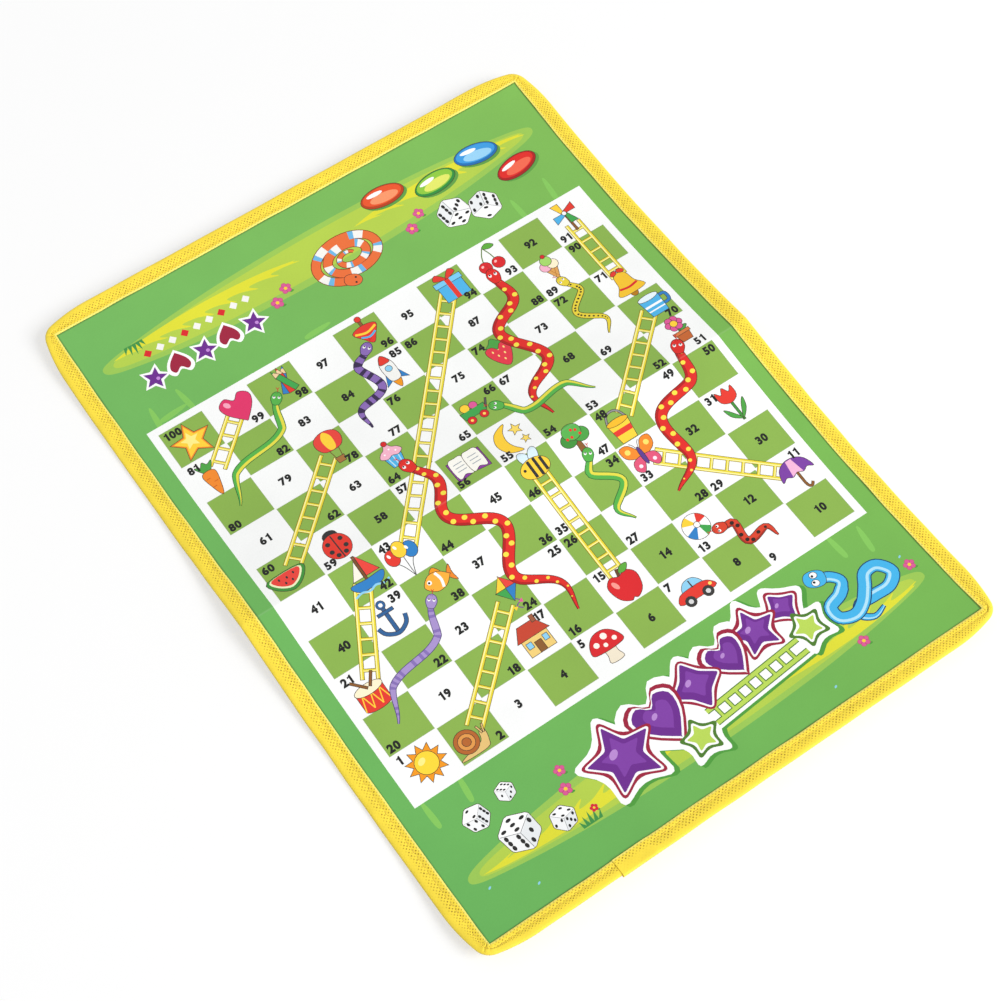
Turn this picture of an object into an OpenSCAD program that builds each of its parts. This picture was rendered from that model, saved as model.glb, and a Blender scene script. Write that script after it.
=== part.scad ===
// Folding snakes and ladders board, lying open as it rests on a table.
// X runs along the numbered rows, Y up the board from row one, Z up.
// The crease lies on the X axis. Each half keeps a slight bow: its two ends
// stand higher than its middle, so the crease shows as a low ridge.

/* [Board] */
// Width along the numbered rows, over the binding
board_w = 300; // [240:1:360]
// Length of the open board, end to end over the binding
board_l = 400; // [320:1:480]
// Radius of the four outer corners
corner_r = 9; // [7:0.5:12]
// How far the tape's pull draws each corner in
corner_draw = 2.5; // [1:0.5:4]
// Length of each side, next to a corner, over which it is drawn in
draw_l = 32; // [20:1:45]
// How far the middle of each half lies below its ends
bow = 7; // [4:0.5:12]
// Depth of the patches that the board's weight presses flat on the table
rest_flat = 0.15; // [0.05:0.05:0.25]

/* [Layers] */
// Thickness of the printed and laminated face sheet
face_t = 0.2; // [0.1:0.05:0.4]
// Thickness of the stiff board inside each half
core_t = 1; // [0.6:0.1:2]
// Thickness of the nonwoven backing
backing_t = 0.3; // [0.2:0.05:0.5]
// Thickness of the nonwoven binding tape
tape_t = 0.3; // [0.3:0.05:0.5]
// Room for the glue between two layers
glue_gap = 0.02; // [0.01:0.01:0.05]

/* [Binding] */
// Width of the tape that shows on the printed side
front_band = 9; // [6:0.5:14]
// Width of the tape on the back
back_band = 10; // [6:0.5:14]
// Distance from the board's middle to the cut end of the tape
lap_x = 75; // [20:1:90]
// Length over which the tape's two ends overlap
lap_l = 18; // [8:1:24]
// How much further out the tape runs on the lapped side of its cut end
lap_step = 1; // [0.5:0.1:2]

/* [Crease] */
// Space between the two halves at the crease
crease_gap = 0.2; // [0.1:0.05:0.4]
// Width beside the crease that has no stiff board inside
core_setback = 2; // [1:0.5:4]

/* [Seam] */
// Distance from the tape's inner edge to the seam
seam_inset = 3; // [2:0.5:5]
// Length of one stitch
stitch_l = 3.2; // [2:0.2:5]
// Distance from one stitch to the next
stitch_pitch = 4.4; // [3.4:0.2:7]
// Width of the sewing thread
thread_w = 0.5; // [0.3:0.1:0.8]
// Height of a stitch over the tape
thread_t = 0.25; // [0.15:0.05:0.4]

/* [Hidden] */

// The two halves, by the side of the crease that they lie on
lower = -1;
upper = 1;

// How far a cut runs past what it cuts
overrun = 2;
// Facets of the large circles that the halves are bent to
bend_facets = 720;
// Flats that a corner's round is made of
corner_flats = 8;
// Flats that a side leans in by towards a corner
draw_flats = 4;

half_l = board_l / 2;

// Height of each layer's two faces over the board's underside
backing_lo = tape_t + glue_gap;
backing_hi = backing_lo + backing_t;
core_lo = backing_hi + glue_gap;
core_hi = core_lo + core_t;
face_lo = core_hi + glue_gap;
face_hi = face_lo + face_t;
front_lo = face_hi + glue_gap;
total_t = front_lo + tape_t;

// Radius of the underside, so that a half's middle lies the bow below its ends
bend_r = (pow(half_l / 2, 2) + pow(bow, 2)) / (2 * bow);
// Height of the axis that a half is bent around
bend_z = bend_r - rest_flat;

// Room between the tape's fold and the edge of the layers inside it
edge_room = glue_gap;

// Distance from two sides to the middle of the corner between them
turn = corner_r + corner_draw;
// Radius of the large circle by which a side leans in, and the angle it leans to
pull_r = (pow(turn, 2) + pow(draw_l - turn, 2) - pow(corner_r, 2)) / (2 * corner_draw);
pull_angle = asin((draw_l - turn) / (pull_r - corner_r));

// The seam's places, measured from the middle of the board
seam_x = board_w / 2 - front_band + seam_inset;
seam_y = half_l - front_band + seam_inset;
// The seam stops short of the crease and of the sharp turns at the corners
seam_start = crease_gap / 2 + stitch_l;
side_stitches = floor((seam_y - seam_start - stitch_l) / stitch_pitch);
end_stitches = floor((2 * seam_x - 2 * stitch_l) / stitch_pitch);

// Angle of the surface at a place along the board, at a height over the underside
function lean(side, y, height) = asin((y - side * half_l / 2) / (bend_r - height));

// Height of the surface there over the table
function rise(side, y, height) = bend_z - (bend_r - height) * cos(lean(side, y, height));

// The whole board's outline, smaller all round by the given amount, with the near
// edge trimmed back where asked. Each side leans in to its corners along a large circle.
module rounded_outline(inset, near_trim) {
    half_w = board_w / 2;
    half_length = (board_l - near_trim) / 2;
    pull = pull_r - inset;
    angles = [for (i = [0 : draw_flats]) pull_angle * i / draw_flats];
    side = [for (a = angles) [half_w - pull_r + pull * cos(a), half_length - draw_l + pull * sin(a)]];
    end = [for (i = [draw_flats : -1 : 0])
        [half_w - draw_l + pull * sin(angles[i]), half_length - pull_r + pull * cos(angles[i])]];
    corner = [for (i = [1 : corner_flats - 1])
        let (a = pull_angle + (90 - 2 * pull_angle) * i / corner_flats)
        [half_w - turn + (corner_r - inset) * cos(a), half_length - turn + (corner_r - inset) * sin(a)]];
    quarter = concat(side, corner, end);
    last = len(quarter) - 1;
    translate([0, near_trim / 2])
        polygon(concat(
            quarter,
            [for (i = [last : -1 : 0]) [-quarter[i][0], quarter[i][1]]],
            [for (i = [0 : last]) [-quarter[i][0], -quarter[i][1]]],
            [for (i = [last : -1 : 0]) [quarter[i][0], -quarter[i][1]]]
        ));
}

// One half of the outline, from the given distance off the crease outwards
module half_outline(side, inset, start, near_trim = 0) {
    intersection() {
        rounded_outline(inset, near_trim);
        translate([-board_w / 2 - overrun, side > 0 ? start : -half_l - overrun])
            square([board_w + 2 * overrun, half_l + overrun - start]);
    }
}

// Outline of the layers that lie inside the tape, from the given distance off the crease
module layer_outline(side, start) {
    half_outline(side, tape_t + edge_room, start, side == lower ? lap_step : 0);
}

// A flat outline turned into a layer between two heights over the bent underside
module bent_layer(side, low, high) {
    intersection() {
        translate([0, side * half_l / 2, bend_z])
            rotate([0, 90, 0])
                difference() {
                    cylinder(h = board_w + 2 * overrun, r = bend_r - low, center = true, $fn = bend_facets);
                    cylinder(h = board_w + 4 * overrun, r = bend_r - high, center = true, $fn = bend_facets);
                }
        linear_extrude(height = bow + 2 * total_t + overrun)
            children();
    }
}

// Stiff board inside one half, short of the crease so that the fold stays soft
module core(side) {
    color("#B9B2A3")
        bent_layer(side, core_lo, core_hi)
            layer_outline(side, core_setback);
}

// Nonwoven sheet glued to the back of one half
module backing(side) {
    color("#F3CE2E")
        bent_layer(side, backing_lo, backing_hi)
            layer_outline(side, crease_gap / 2);
}

// Printed sheet with its clear laminate, up to the middle of the crease
module face(side) {
    color("#7DC363")
        bent_layer(side, face_lo, face_hi)
            layer_outline(side, crease_gap / 2);
}

// The tape's outline on one half. On the lower half the tape runs further out
// from its cut end to the right than it does to the left of it.
module tape_outline(side, inset, start) {
    if (side == upper) {
        half_outline(side, inset, start);
    } else {
        half_outline(side, inset, start, lap_step);
        intersection() {
            half_outline(side, inset, start);
            translate([-lap_x + inset, -half_l])
                square([board_w, half_l + overrun]);
        }
    }
}

// The opening in the tape frame, square at its inner corners
module band_window(band) {
    square([board_w - 2 * band, board_l - 2 * band], center = true);
}

// Binding tape folded round the three free edges of one half
module binding(side) {
    color("#FBDD3A")
        difference() {
            bent_layer(side, 0, total_t)
                tape_outline(side, 0, crease_gap / 2);
            bent_layer(side, tape_t, front_lo)
                tape_outline(side, tape_t, -overrun);
            bent_layer(side, -overrun, core_lo)
                band_window(back_band);
            bent_layer(side, core_hi, total_t + overrun)
                band_window(front_band);
        }
}

// The tape's upper end where it lies over the lower one at the near edge
module binding_lap() {
    color("#FBDD3A")
        bent_layer(lower, total_t + glue_gap, total_t + glue_gap + tape_t)
            translate([-lap_x, -half_l])
                square([lap_l, front_band - glue_gap]);
}

// One stitch lying on the tape, at a place on the board and turned the given way
module stitch(side, x, y, along_x) {
    height = total_t + glue_gap + thread_t / 2;
    translate([x, y, rise(side, y, height)])
        rotate([lean(side, y, height), 0, 0])
            cube(along_x ? [stitch_l, thread_w, thread_t] : [thread_w, stitch_l, thread_t], center = true);
}

// Sewing thread that holds the binding of one half, as a row of stitches.
// On the near edge the row leaves out the stitches that the tape's end covers.
module stitching(side) {
    color("#F2C81E") {
        for (edge = [-1, 1], i = [0 : side_stitches])
            stitch(side, edge * seam_x, side * (seam_start + i * stitch_pitch), false);
        for (i = [0 : end_stitches]) {
            x = (i - end_stitches / 2) * stitch_pitch;
            covered = side == lower && abs(x + lap_x - lap_l / 2) < lap_l / 2 + stitch_l;
            if (!covered) stitch(side, x, side * seam_y, true);
        }
    }
}

core(lower);  // core_lower
core(upper);  // core_upper
backing(lower);  // backing_lower
backing(upper);  // backing_upper
face(lower);  // face_lower
face(upper);  // face_upper
binding(lower);  // binding_lower
binding(upper);  // binding_upper
binding_lap();
stitching(lower);  // stitching_lower
stitching(upper);  // stitching_upper
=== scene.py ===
import bisect
import math

import bpy
import numpy as np
from mathutils import Matrix, Vector, noise
from mathutils.geometry import delaunay_2d_cdt


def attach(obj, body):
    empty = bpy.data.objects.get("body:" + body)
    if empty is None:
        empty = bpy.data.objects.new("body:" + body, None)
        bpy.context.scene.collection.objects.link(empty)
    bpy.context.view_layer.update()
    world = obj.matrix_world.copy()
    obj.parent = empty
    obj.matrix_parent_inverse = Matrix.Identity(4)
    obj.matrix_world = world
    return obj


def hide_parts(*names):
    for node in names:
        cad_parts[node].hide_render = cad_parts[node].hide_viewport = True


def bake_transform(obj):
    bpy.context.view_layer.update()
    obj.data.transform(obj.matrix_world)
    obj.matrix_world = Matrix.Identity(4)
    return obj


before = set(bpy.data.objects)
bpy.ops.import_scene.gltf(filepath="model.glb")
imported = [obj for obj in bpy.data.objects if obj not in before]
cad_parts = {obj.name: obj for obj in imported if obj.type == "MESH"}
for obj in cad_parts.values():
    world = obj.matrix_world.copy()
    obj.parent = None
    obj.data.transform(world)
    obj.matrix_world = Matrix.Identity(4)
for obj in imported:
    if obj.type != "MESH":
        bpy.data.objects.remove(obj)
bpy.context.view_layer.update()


# Table, light and camera

# The board lies open on a plain white table top under two large soft lamps,
# and is seen from above its near left corner. Sizes in this file are in mm.

MM = 0.001


def linear(code):
    """A colour written as sRGB hex, as the linear values that Blender works in."""
    parts = [int(code[i:i + 2], 16) / 255 for i in (1, 3, 5)]
    return [v / 12.92 if v <= 0.04045 else ((v + 0.055) / 1.055) ** 2.4 for v in parts] + [1.0]


def empty_tree(block):
    """The node tree of a new material or world, with nothing in it yet."""
    block.use_nodes = True
    block.node_tree.nodes.clear()
    return block.node_tree


def add(tree, kind, inputs=None, **settings):
    """Adds one node, with its settings, and with values or links for its sockets. A node
    given for a socket is linked to it by its first output."""
    node = tree.nodes.new(kind)
    for name, value in settings.items():
        setattr(node, name, value)
    for name, value in (inputs or {}).items():
        if isinstance(value, bpy.types.Node):
            value = value.outputs[0]
        if isinstance(value, bpy.types.NodeSocket):
            tree.links.new(value, node.inputs[name])
        else:
            node.inputs[name].default_value = value
    return node


def put(name, data):
    """Puts a new object into the scene that shows a mesh, a lamp or the like."""
    thing = bpy.data.objects.new(name, data)
    bpy.context.scene.collection.objects.link(thing)
    return thing


# The camera's place, the way to its right and the way that it looks, fitted to the photo.
EYE = (-294.2, -415.8, 925.8)
RIGHT = Vector((0.8195, -0.5730, 0.0016))
LOOK = Vector((0.2714, 0.3857, -0.8818))
LENS, SENSOR = 77.5, 36.0

camera_data = bpy.data.cameras.new("camera")
camera_data.lens = LENS
camera_data.sensor_width = SENSOR
camera = put("camera", camera_data)
turn = Matrix((RIGHT, RIGHT.cross(LOOK), -LOOK)).transposed().to_4x4()
camera.matrix_world = Matrix.Translation(Vector(EYE) * MM) @ turn
bpy.context.scene.camera = camera
bpy.context.scene.view_settings.view_transform = "Standard"


def soft_lamp(name, place, size, power):
    """A square soft lamp that shines on the middle of the board."""
    data = bpy.data.lights.new(name, "AREA")
    data.shape = "SQUARE"
    data.size = size * MM
    data.energy = power
    lamp = put(name, data)
    lamp.location = Vector(place) * MM
    lamp.rotation_euler = (-lamp.location).to_track_quat("-Z", "Y").to_euler()


soft_lamp("key_lamp", place=(1800, -2610, 2610), size=2100, power=160)
soft_lamp("fill_lamp", place=(-1400, 900, 1800), size=1500, power=4)

# The room is an even soft white. The camera and the gloss of things see it as pure white.
ROOM = 0.44
room = bpy.data.worlds.new("white_room")
bpy.context.scene.world = room
tree = empty_tree(room)
path = add(tree, "ShaderNodeLightPath")
seen = add(tree, "ShaderNodeMath", {
    0: path.outputs["Is Camera Ray"], 1: path.outputs["Is Glossy Ray"]}, operation="MAXIMUM")
strength = add(tree, "ShaderNodeMapRange", {"Value": seen, "To Min": ROOM, "To Max": 1.0})
light = add(tree, "ShaderNodeBackground", {"Color": linear("#FFFFFF"), "Strength": strength})
add(tree, "ShaderNodeOutputWorld", {"Surface": light})

FLOOR_HALF = 1400
floor_mesh = bpy.data.meshes.new("table_top")
corners = [(-1, -1), (1, -1), (1, 1), (-1, 1)]
floor_mesh.from_pydata(
    [(x * FLOOR_HALF * MM, y * FLOOR_HALF * MM, 0) for x, y in corners], [], [(0, 1, 2, 3)])
floor = put("table_top", floor_mesh)

white_top = bpy.data.materials.new("matt_white_laminate")
# Pressed laminate with a matt face: an even white without gloss. It glows a little
# for the camera alone, so that the table runs into the white room.
tree = empty_tree(white_top)
path = add(tree, "ShaderNodeLightPath")
speck = add(tree, "ShaderNodeTexNoise", {"Scale": 90.0, "Detail": 3.0})
tone = add(tree, "ShaderNodeMapRange", {
    "Value": speck.outputs["Fac"], "To Min": 0.97, "To Max": 0.985})
paint = add(tree, "ShaderNodeBsdfDiffuse", {"Color": tone})
glow = add(tree, "ShaderNodeEmission", {"Color": linear("#FFFFFF"), "Strength": 1.0})
share = add(tree, "ShaderNodeMapRange", {"Value": path.outputs["Is Camera Ray"], "To Max": 0.6})
both = add(tree, "ShaderNodeMixShader", {"Fac": share, 1: paint, 2: glow})
add(tree, "ShaderNodeOutputMaterial", {"Surface": both})
floor_mesh.materials.append(white_top)


# Stiff boards

# The two halves of the board inside: 1 mm greyboard, cut short of the crease,
# glued between the face and the backing. The CAD solids are shown as they are.

greyboard = bpy.data.materials.new("greyboard")
# Pressed waste paper: a warm matt grey with short fibres and a few darker flecks.
tree = empty_tree(greyboard)
where = add(tree, "ShaderNodeTexCoord")
fibre = add(tree, "ShaderNodeTexNoise", {
    "Vector": where.outputs["Object"], "Scale": 1 / (1.2 * MM), "Detail": 6.0})
fleck = add(tree, "ShaderNodeTexVoronoi", {
    "Vector": where.outputs["Object"], "Scale": 1 / (3.0 * MM)})
pulp = add(tree, "ShaderNodeValToRGB", {"Fac": fibre.outputs["Fac"]})
for stop, place, code in zip(pulp.color_ramp.elements, (0.3, 0.7), ("#A29C8E", "#C8C2B4")):
    stop.position, stop.color = place, linear(code)
spot = add(tree, "ShaderNodeMapRange", {
    "Value": fleck.outputs["Distance"], "From Max": 0.16, "To Min": 0.5, "To Max": 0.0})
flecked = add(tree, "ShaderNodeMix", {
    0: spot, 6: pulp.outputs["Color"], 7: linear("#7C766A")}, data_type="RGBA")
bump = add(tree, "ShaderNodeBump", {
    "Height": fibre.outputs["Fac"], "Strength": 0.4, "Distance": 0.1 * MM})
board_shader = add(tree, "ShaderNodeBsdfPrincipled", {
    "Base Color": flecked.outputs[2], "Roughness": 0.92, "Normal": bump})
add(tree, "ShaderNodeOutputMaterial", {"Surface": board_shader})
for name in ("core_lower", "core_upper"):
    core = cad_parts[name].data
    core.materials.clear()
    core.materials.append(greyboard)


# Backing

# A thin yellow nonwoven sheet glued over the whole back, across the crease,
# so that it is the outer skin of the fold. Its edges lie inside the tape.

BOW_RADIUS = 717.7857    # each half is bent to an arc of this radius
BOW_CENTRE = 717.6357    # height of that arc's centre over the table
SOFT_RIDGE = 0.6         # the ridge at the crease is rounded over about this width
HALF_W, HALF_L, HALF_MIDDLE = 150.0, 200.0, 100.0
CORNER_R = 9.0           # radius of a corner, which the tape's pull draws in
CORNER_DRAW, DRAW_L = 2.5, 32.0    # by this much, over this length of each side
TURN = CORNER_R + CORNER_DRAW      # from two sides to the middle of the corner between them
PULL_R = (TURN ** 2 + (DRAW_L - TURN) ** 2 - CORNER_R ** 2) / (2 * CORNER_DRAW)
PULL = math.asin((DRAW_L - TURN) / (PULL_R - CORNER_R))
LAYER_INSET = 0.32       # from the tape's outside to the edge of what it holds
LAP_STEP = 1.0           # the near edge sits this much further in left of the tape's cut end
CREASE = 2.0             # width on each side of the crease that bends
BACKING_LOW, BACKING_HIGH = 0.32, 0.62
ROW_STEP, ACROSS = 5.7, 40         # distance between a sheet's rows, and the steps in each
CREASE_ROWS = [0.25, 0.5, 0.75, 1.0, 1.5]
LEAN_STEPS, ROUND_STEPS = 4, 7     # rows where a side leans in, and in a corner's round


def on_board(x, y, height):
    """The place in metres at x and y in plan and at a height over the board's underside."""
    radius = BOW_RADIUS - height
    z = BOW_CENTRE - math.sqrt(radius ** 2 - (math.hypot(y, SOFT_RIDGE) - HALF_MIDDLE) ** 2)
    return Vector((x, y, max(z, 0))) * MM


def corner_line(inset, trim, lean_steps, round_steps):
    """The edge round the right far corner, from the long side to the end: each place's
    x and y and the direction that it faces. Each side leans in along a large circle."""
    end = HALF_L - trim
    square = math.pi / 2
    arcs = ((HALF_W - PULL_R, end - DRAW_L, PULL_R, 0, PULL, lean_steps),
            (HALF_W - TURN, end - TURN, CORNER_R, PULL, square - PULL, round_steps),
            (HALF_W - DRAW_L, end - PULL_R, PULL_R, square - PULL, square, lean_steps))
    line = []
    for cx, cy, radius, first, last, steps in arcs:
        for i in range(steps):
            a = first + (last - first) * i / steps
            r = radius - inset
            line.append((cx + r * math.cos(a), cy + r * math.sin(a), a))
    return line + [(HALF_W - DRAW_L, end - inset, square)]


def sheet_rows():
    """Rows of points across a sheet that the tape holds, from the near end to the far
    end: each row's y and half its width. They are close together at the crease and
    round the corners."""
    rows = [(0.0, HALF_W - LAYER_INSET)]
    for side, trim in ((-1, LAP_STEP), (1, 0)):
        straight = HALF_L - trim - DRAW_L
        steps = round((straight - CREASE) / ROW_STEP)
        ys = CREASE_ROWS + [CREASE + (straight - CREASE) * i / steps for i in range(steps)]
        rows += [(side * y, HALF_W - LAYER_INSET) for y in ys]
        corner = corner_line(LAYER_INSET, trim, LEAN_STEPS, ROUND_STEPS)
        rows += [(side * y, x) for x, y, _ in corner]
    return sorted(rows)


def add_piece(name, points, faces, flat):
    """Makes a piece from points in metres. flat gives each point's place on the uncut
    cloth or paper, in mm, which its material's pattern follows."""
    mesh = bpy.data.meshes.new(name)
    mesh.from_pydata(points, [], faces)
    mesh.attributes.new("flat", "FLOAT_VECTOR", "POINT").data.foreach_set(
        "vector", [c for place in flat for c in place])
    mesh.shade_smooth()
    mesh.set_sharp_from_angle(angle=math.radians(50))
    return put(name, mesh)


# The sheet's two sides and then its four edges. The third number of a place on the
# cloth is 0 where it lies flat and -1 where it bends, and its dots fade there.
rows = sheet_rows()
points, flat, faces = [], [], []
for height in (BACKING_HIGH, BACKING_LOW):
    for y, half in rows:
        for i in range(ACROSS + 1):
            x = half * (2 * i / ACROSS - 1)
            points.append(on_board(x, y, height))
            flat.append((x, y, 0 if abs(y) >= CREASE else -1))
row_size = ACROSS + 1
layer = len(rows) * row_size
for r in range(len(rows) - 1):
    for i in range(ACROSS):
        a = r * row_size + i
        b, c, d = a + 1, a + row_size + 1, a + row_size
        faces += [(a, b, c, d), (layer + d, layer + c, layer + b, layer + a)]
for r in range(len(rows) - 1):
    a, d = r * row_size, (r + 1) * row_size
    faces.append((a, d, layer + d, layer + a))
    faces.append((d + ACROSS, a + ACROSS, layer + a + ACROSS, layer + d + ACROSS))
for i in range(ACROSS):
    a, d = i, (len(rows) - 1) * row_size + i
    faces.append((a + 1, a, layer + a, layer + a + 1))
    faces.append((d, d + 1, layer + d + 1, layer + d))
backing = add_piece("backing_sheet", points, faces, flat)

# The rows of dots run slanting over the cloth. The real ones repeat every 1.75 mm
# along it, which is too fine to show, so they are drawn every 2 mm, which leaves
# this distance from one slanting row to the next.
DOT_PITCH = 1.42


def nonwoven(name, cloth, dot, fibre_colour, dot_edge, dots_from, roughness):
    """Spunbond nonwoven: short fibres pressed together in a diamond lattice of small
    dots. The eye sees a soft matt cloth with rows of darker, sunken dots. dot_edge is
    where a dot's edge begins, as a share of the pitch, and dots_from is the third
    number of a place on the cloth from which the dots begin to show."""
    material = bpy.data.materials.new(name)
    tree = empty_tree(material)
    flat_place = add(tree, "ShaderNodeAttribute", attribute_name="flat")
    on_cloth = flat_place.outputs["Vector"]
    lattice = add(tree, "ShaderNodeMapping", {
        "Vector": on_cloth, "Rotation": (0, 0, math.radians(45)),
        "Scale": (1 / DOT_PITCH, 1 / DOT_PITCH, 0)})
    cell = add(tree, "ShaderNodeVectorMath", {0: lattice}, operation="FRACTION")
    middle = add(tree, "ShaderNodeVectorMath", {0: cell, 1: (0.5, 0.5, 0)}, operation="SUBTRACT")
    away = add(tree, "ShaderNodeVectorMath", {0: middle}, operation="LENGTH")
    sunk = add(tree, "ShaderNodeMapRange", {
        "Value": away.outputs["Value"], "From Min": dot_edge, "From Max": dot_edge + 0.16,
        "To Min": 1.0, "To Max": 0.0}, interpolation_type="SMOOTHSTEP")
    # Where the cloth is pulled round the board's edge or the fold, the dots are
    # stretched away.
    parts = add(tree, "ShaderNodeSeparateXYZ", {0: on_cloth})
    flat_part = add(tree, "ShaderNodeMapRange", {
        "Value": parts.outputs[2], "From Min": dots_from, "From Max": dots_from + 0.6,
        "To Min": 0.1, "To Max": 1.0})
    # Some dots are pressed deeper than others.
    patches = add(tree, "ShaderNodeTexNoise", {"Vector": on_cloth, "Scale": 1 / 2.6, "Detail": 2.0})
    depth = add(tree, "ShaderNodeMapRange", {
        "Value": patches.outputs["Fac"], "From Min": 0.35, "From Max": 0.65,
        "To Min": 0.35, "To Max": 1.0})
    shown = add(tree, "ShaderNodeMath", {0: flat_part, 1: depth}, operation="MULTIPLY")
    dots = add(tree, "ShaderNodeMath", {0: sunk, 1: shown}, operation="MULTIPLY")
    # Painted highlight: along the cut edge the colour is mixed towards a pale yellow, where the
    # edge catches the light.
    painted_edge_highlight = add(tree, "ShaderNodeMapRange", {
        "Value": parts.outputs[2], "From Min": 8.0, "From Max": 18.0, "To Max": 0.7})
    fibres = add(tree, "ShaderNodeTexNoise", {
        "Vector": on_cloth, "Scale": 1 / 0.5, "Detail": 5.0, "Roughness": 0.6})
    clouds = add(tree, "ShaderNodeTexNoise", {"Vector": on_cloth, "Scale": 1 / 9.0, "Detail": 3.0})
    fibre_share = add(tree, "ShaderNodeMapRange", {
        "Value": fibres.outputs["Fac"], "From Min": 0.35, "From Max": 0.75, "To Max": 0.7})
    spun = add(tree, "ShaderNodeMix", {
        0: fibre_share, 6: linear(cloth), 7: linear(fibre_colour)}, data_type="RGBA")
    dotted = add(tree, "ShaderNodeMix", {
        0: dots, 6: spun.outputs[2], 7: linear(dot)}, data_type="RGBA")
    edge_highlighted = add(tree, "ShaderNodeMix", {
        0: painted_edge_highlight, 6: dotted.outputs[2], 7: linear("#FFF27E")}, data_type="RGBA")
    shade = add(tree, "ShaderNodeMapRange", {
        "Value": clouds.outputs["Fac"], "From Min": 0.3, "From Max": 0.7,
        "To Min": 0.93, "To Max": 1.03})
    shaded = add(tree, "ShaderNodeVectorMath", {
        0: edge_highlighted.outputs[2], "Scale": shade}, operation="SCALE")
    raised = add(tree, "ShaderNodeMath", {0: fibres.outputs["Fac"], 1: 0.5}, operation="MULTIPLY")
    relief = add(tree, "ShaderNodeMath", {0: raised, 1: dots}, operation="SUBTRACT")
    bump = add(tree, "ShaderNodeBump", {"Height": relief, "Strength": 0.8, "Distance": 0.16 * MM})
    rough = add(tree, "ShaderNodeMapRange", {
        "Value": dots, "To Min": roughness, "To Max": roughness - 0.15})
    shader = add(tree, "ShaderNodeBsdfPrincipled", {
        "Base Color": shaded, "Roughness": rough,
        "Normal": bump, "IOR": 1.49, "Sheen Weight": 0.12, "Sheen Roughness": 0.5})
    add(tree, "ShaderNodeOutputMaterial", {"Surface": shader})
    return material


backing.data.materials.append(nonwoven(
    "yellow_spunbond_backing", cloth="#F2CF3C", dot="#D2AA20", fibre_colour="#F7DC58",
    dot_edge=0.12, dots_from=-1.0, roughness=0.85))
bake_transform(backing)
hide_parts("backing_lower", "backing_upper")


# Printed face

# One printed sheet with a satin film over it, glued to both boards and bent at
# the crease. The print is laid out flat, x from its middle and s from the crease,
# and every shape of ink is cut into the sheet's own mesh, the last one on top.

FACE_LOW, FACE_HIGH = 1.66, 1.86
SQUARE_W, SQUARE_L = 25.6, 23.1
GRID_W, GRID_L = 10 * SQUARE_W, 10 * SQUARE_L
PANEL_W, PANEL_L = 264.0, 238.4
LINE = "#3B2A22"
LINE_W = 0.3             # width of the dark line round a picture's shapes
MITRE = 0.45             # how sharp a corner may be before its line is cut short

inked_points, inked_faces, inks = [], [], []


def lay(colour, outline, pieces=None):
    """Lays one shape of ink on the sheet, given as an outline or as pieces of it."""
    start = len(inked_points)
    inked_points.extend(outline)
    for piece in pieces or [range(len(outline))]:
        inked_faces.append([start + i for i in piece])
        inks.append(linear(colour))


def turned_left(outline):
    """The outline with its points running anticlockwise."""
    area = sum(a[0] * b[1] - b[0] * a[1] for a, b in zip(outline, outline[1:] + outline[:1]))
    return outline if area > 0 else outline[::-1]


def corners_of(outline):
    """Each point of an outline, between the one before it and the one after it."""
    return zip(outline[-1:] + outline[:-1], outline, outline[1:] + outline[:1])


def grown(outline, amount):
    """The outline moved out by an amount all round."""
    result = []
    for before, here, after in corners_of(outline):
        a = Vector((here[1] - before[1], before[0] - here[0]))
        b = Vector((after[1] - here[1], here[0] - after[0]))
        out = (a.normalized() + b.normalized()) if a.length and b.length else a + b
        if out.length < 1e-6:
            result.append(here)
            continue
        out.normalize()
        reach = amount / max(MITRE, out.dot(a.normalized() if a.length else out))
        result.append((here[0] + out.x * reach, here[1] + out.y * reach))
    return result


def rounded(points, steps, closed=True):
    """A smooth line through the points, with a number of steps from each to the next."""
    count = len(points)
    result = []
    for i in range(count if closed else count - 1):
        p = [Vector(points[(i + k) % count] if closed else points[min(max(i + k, 0), count - 1)])
             for k in (-1, 0, 1, 2)]
        for j in range(steps):
            t = j / steps
            q = 0.5 * (2 * p[1] + (p[2] - p[0]) * t
                       + (2 * p[0] - 5 * p[1] + 4 * p[2] - p[3]) * t ** 2
                       + (3 * p[1] - p[0] - 3 * p[2] + p[3]) * t ** 3)
            result.append(tuple(q))
    return result if closed else result + [tuple(points[-1])]


def blunt(outline, cut):
    """The outline with each corner rounded off, from a short way before it."""
    result = []
    for before, here, after in corners_of(outline):
        here = Vector(here)
        a, b = (Vector(p) - here for p in (before, after))
        a, b = (v.normalized() * min(cut, v.length * 0.48) for v in (a, b))
        result += [tuple(here + a * (1 - t) ** 2 + b * t ** 2) for t in (0, 0.25, 0.5, 0.75, 1)]
    return result


def ring(x, y, rx, ry, turned=0, count=None):
    """The outline of an oval. A large one has more points."""
    count = count or max(10, min(28, int(6 + 3.2 * max(rx, ry))))
    c, k = math.cos(math.radians(turned)), math.sin(math.radians(turned))
    angles = [math.tau * i / count for i in range(count)]
    return [(x + c * rx * math.cos(a) - k * ry * math.sin(a),
             y + k * rx * math.cos(a) + c * ry * math.sin(a)) for a in angles]


def star(count, outer, inner, x=0, y=0):
    """The outline of a star, one point upwards, as a row of numbers."""
    numbers = []
    for i in range(2 * count):
        a = math.pi / 2 + math.pi * i / count
        r = inner if i % 2 else outer
        numbers += [x + r * math.cos(a), y + r * math.sin(a)]
    return numbers


def links(count):
    """The pieces of a band of ink with this many links, by its points' numbers."""
    return [(2 * i, 2 * i + 2, 2 * i + 3, 2 * i + 1) for i in range(count)]


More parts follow.
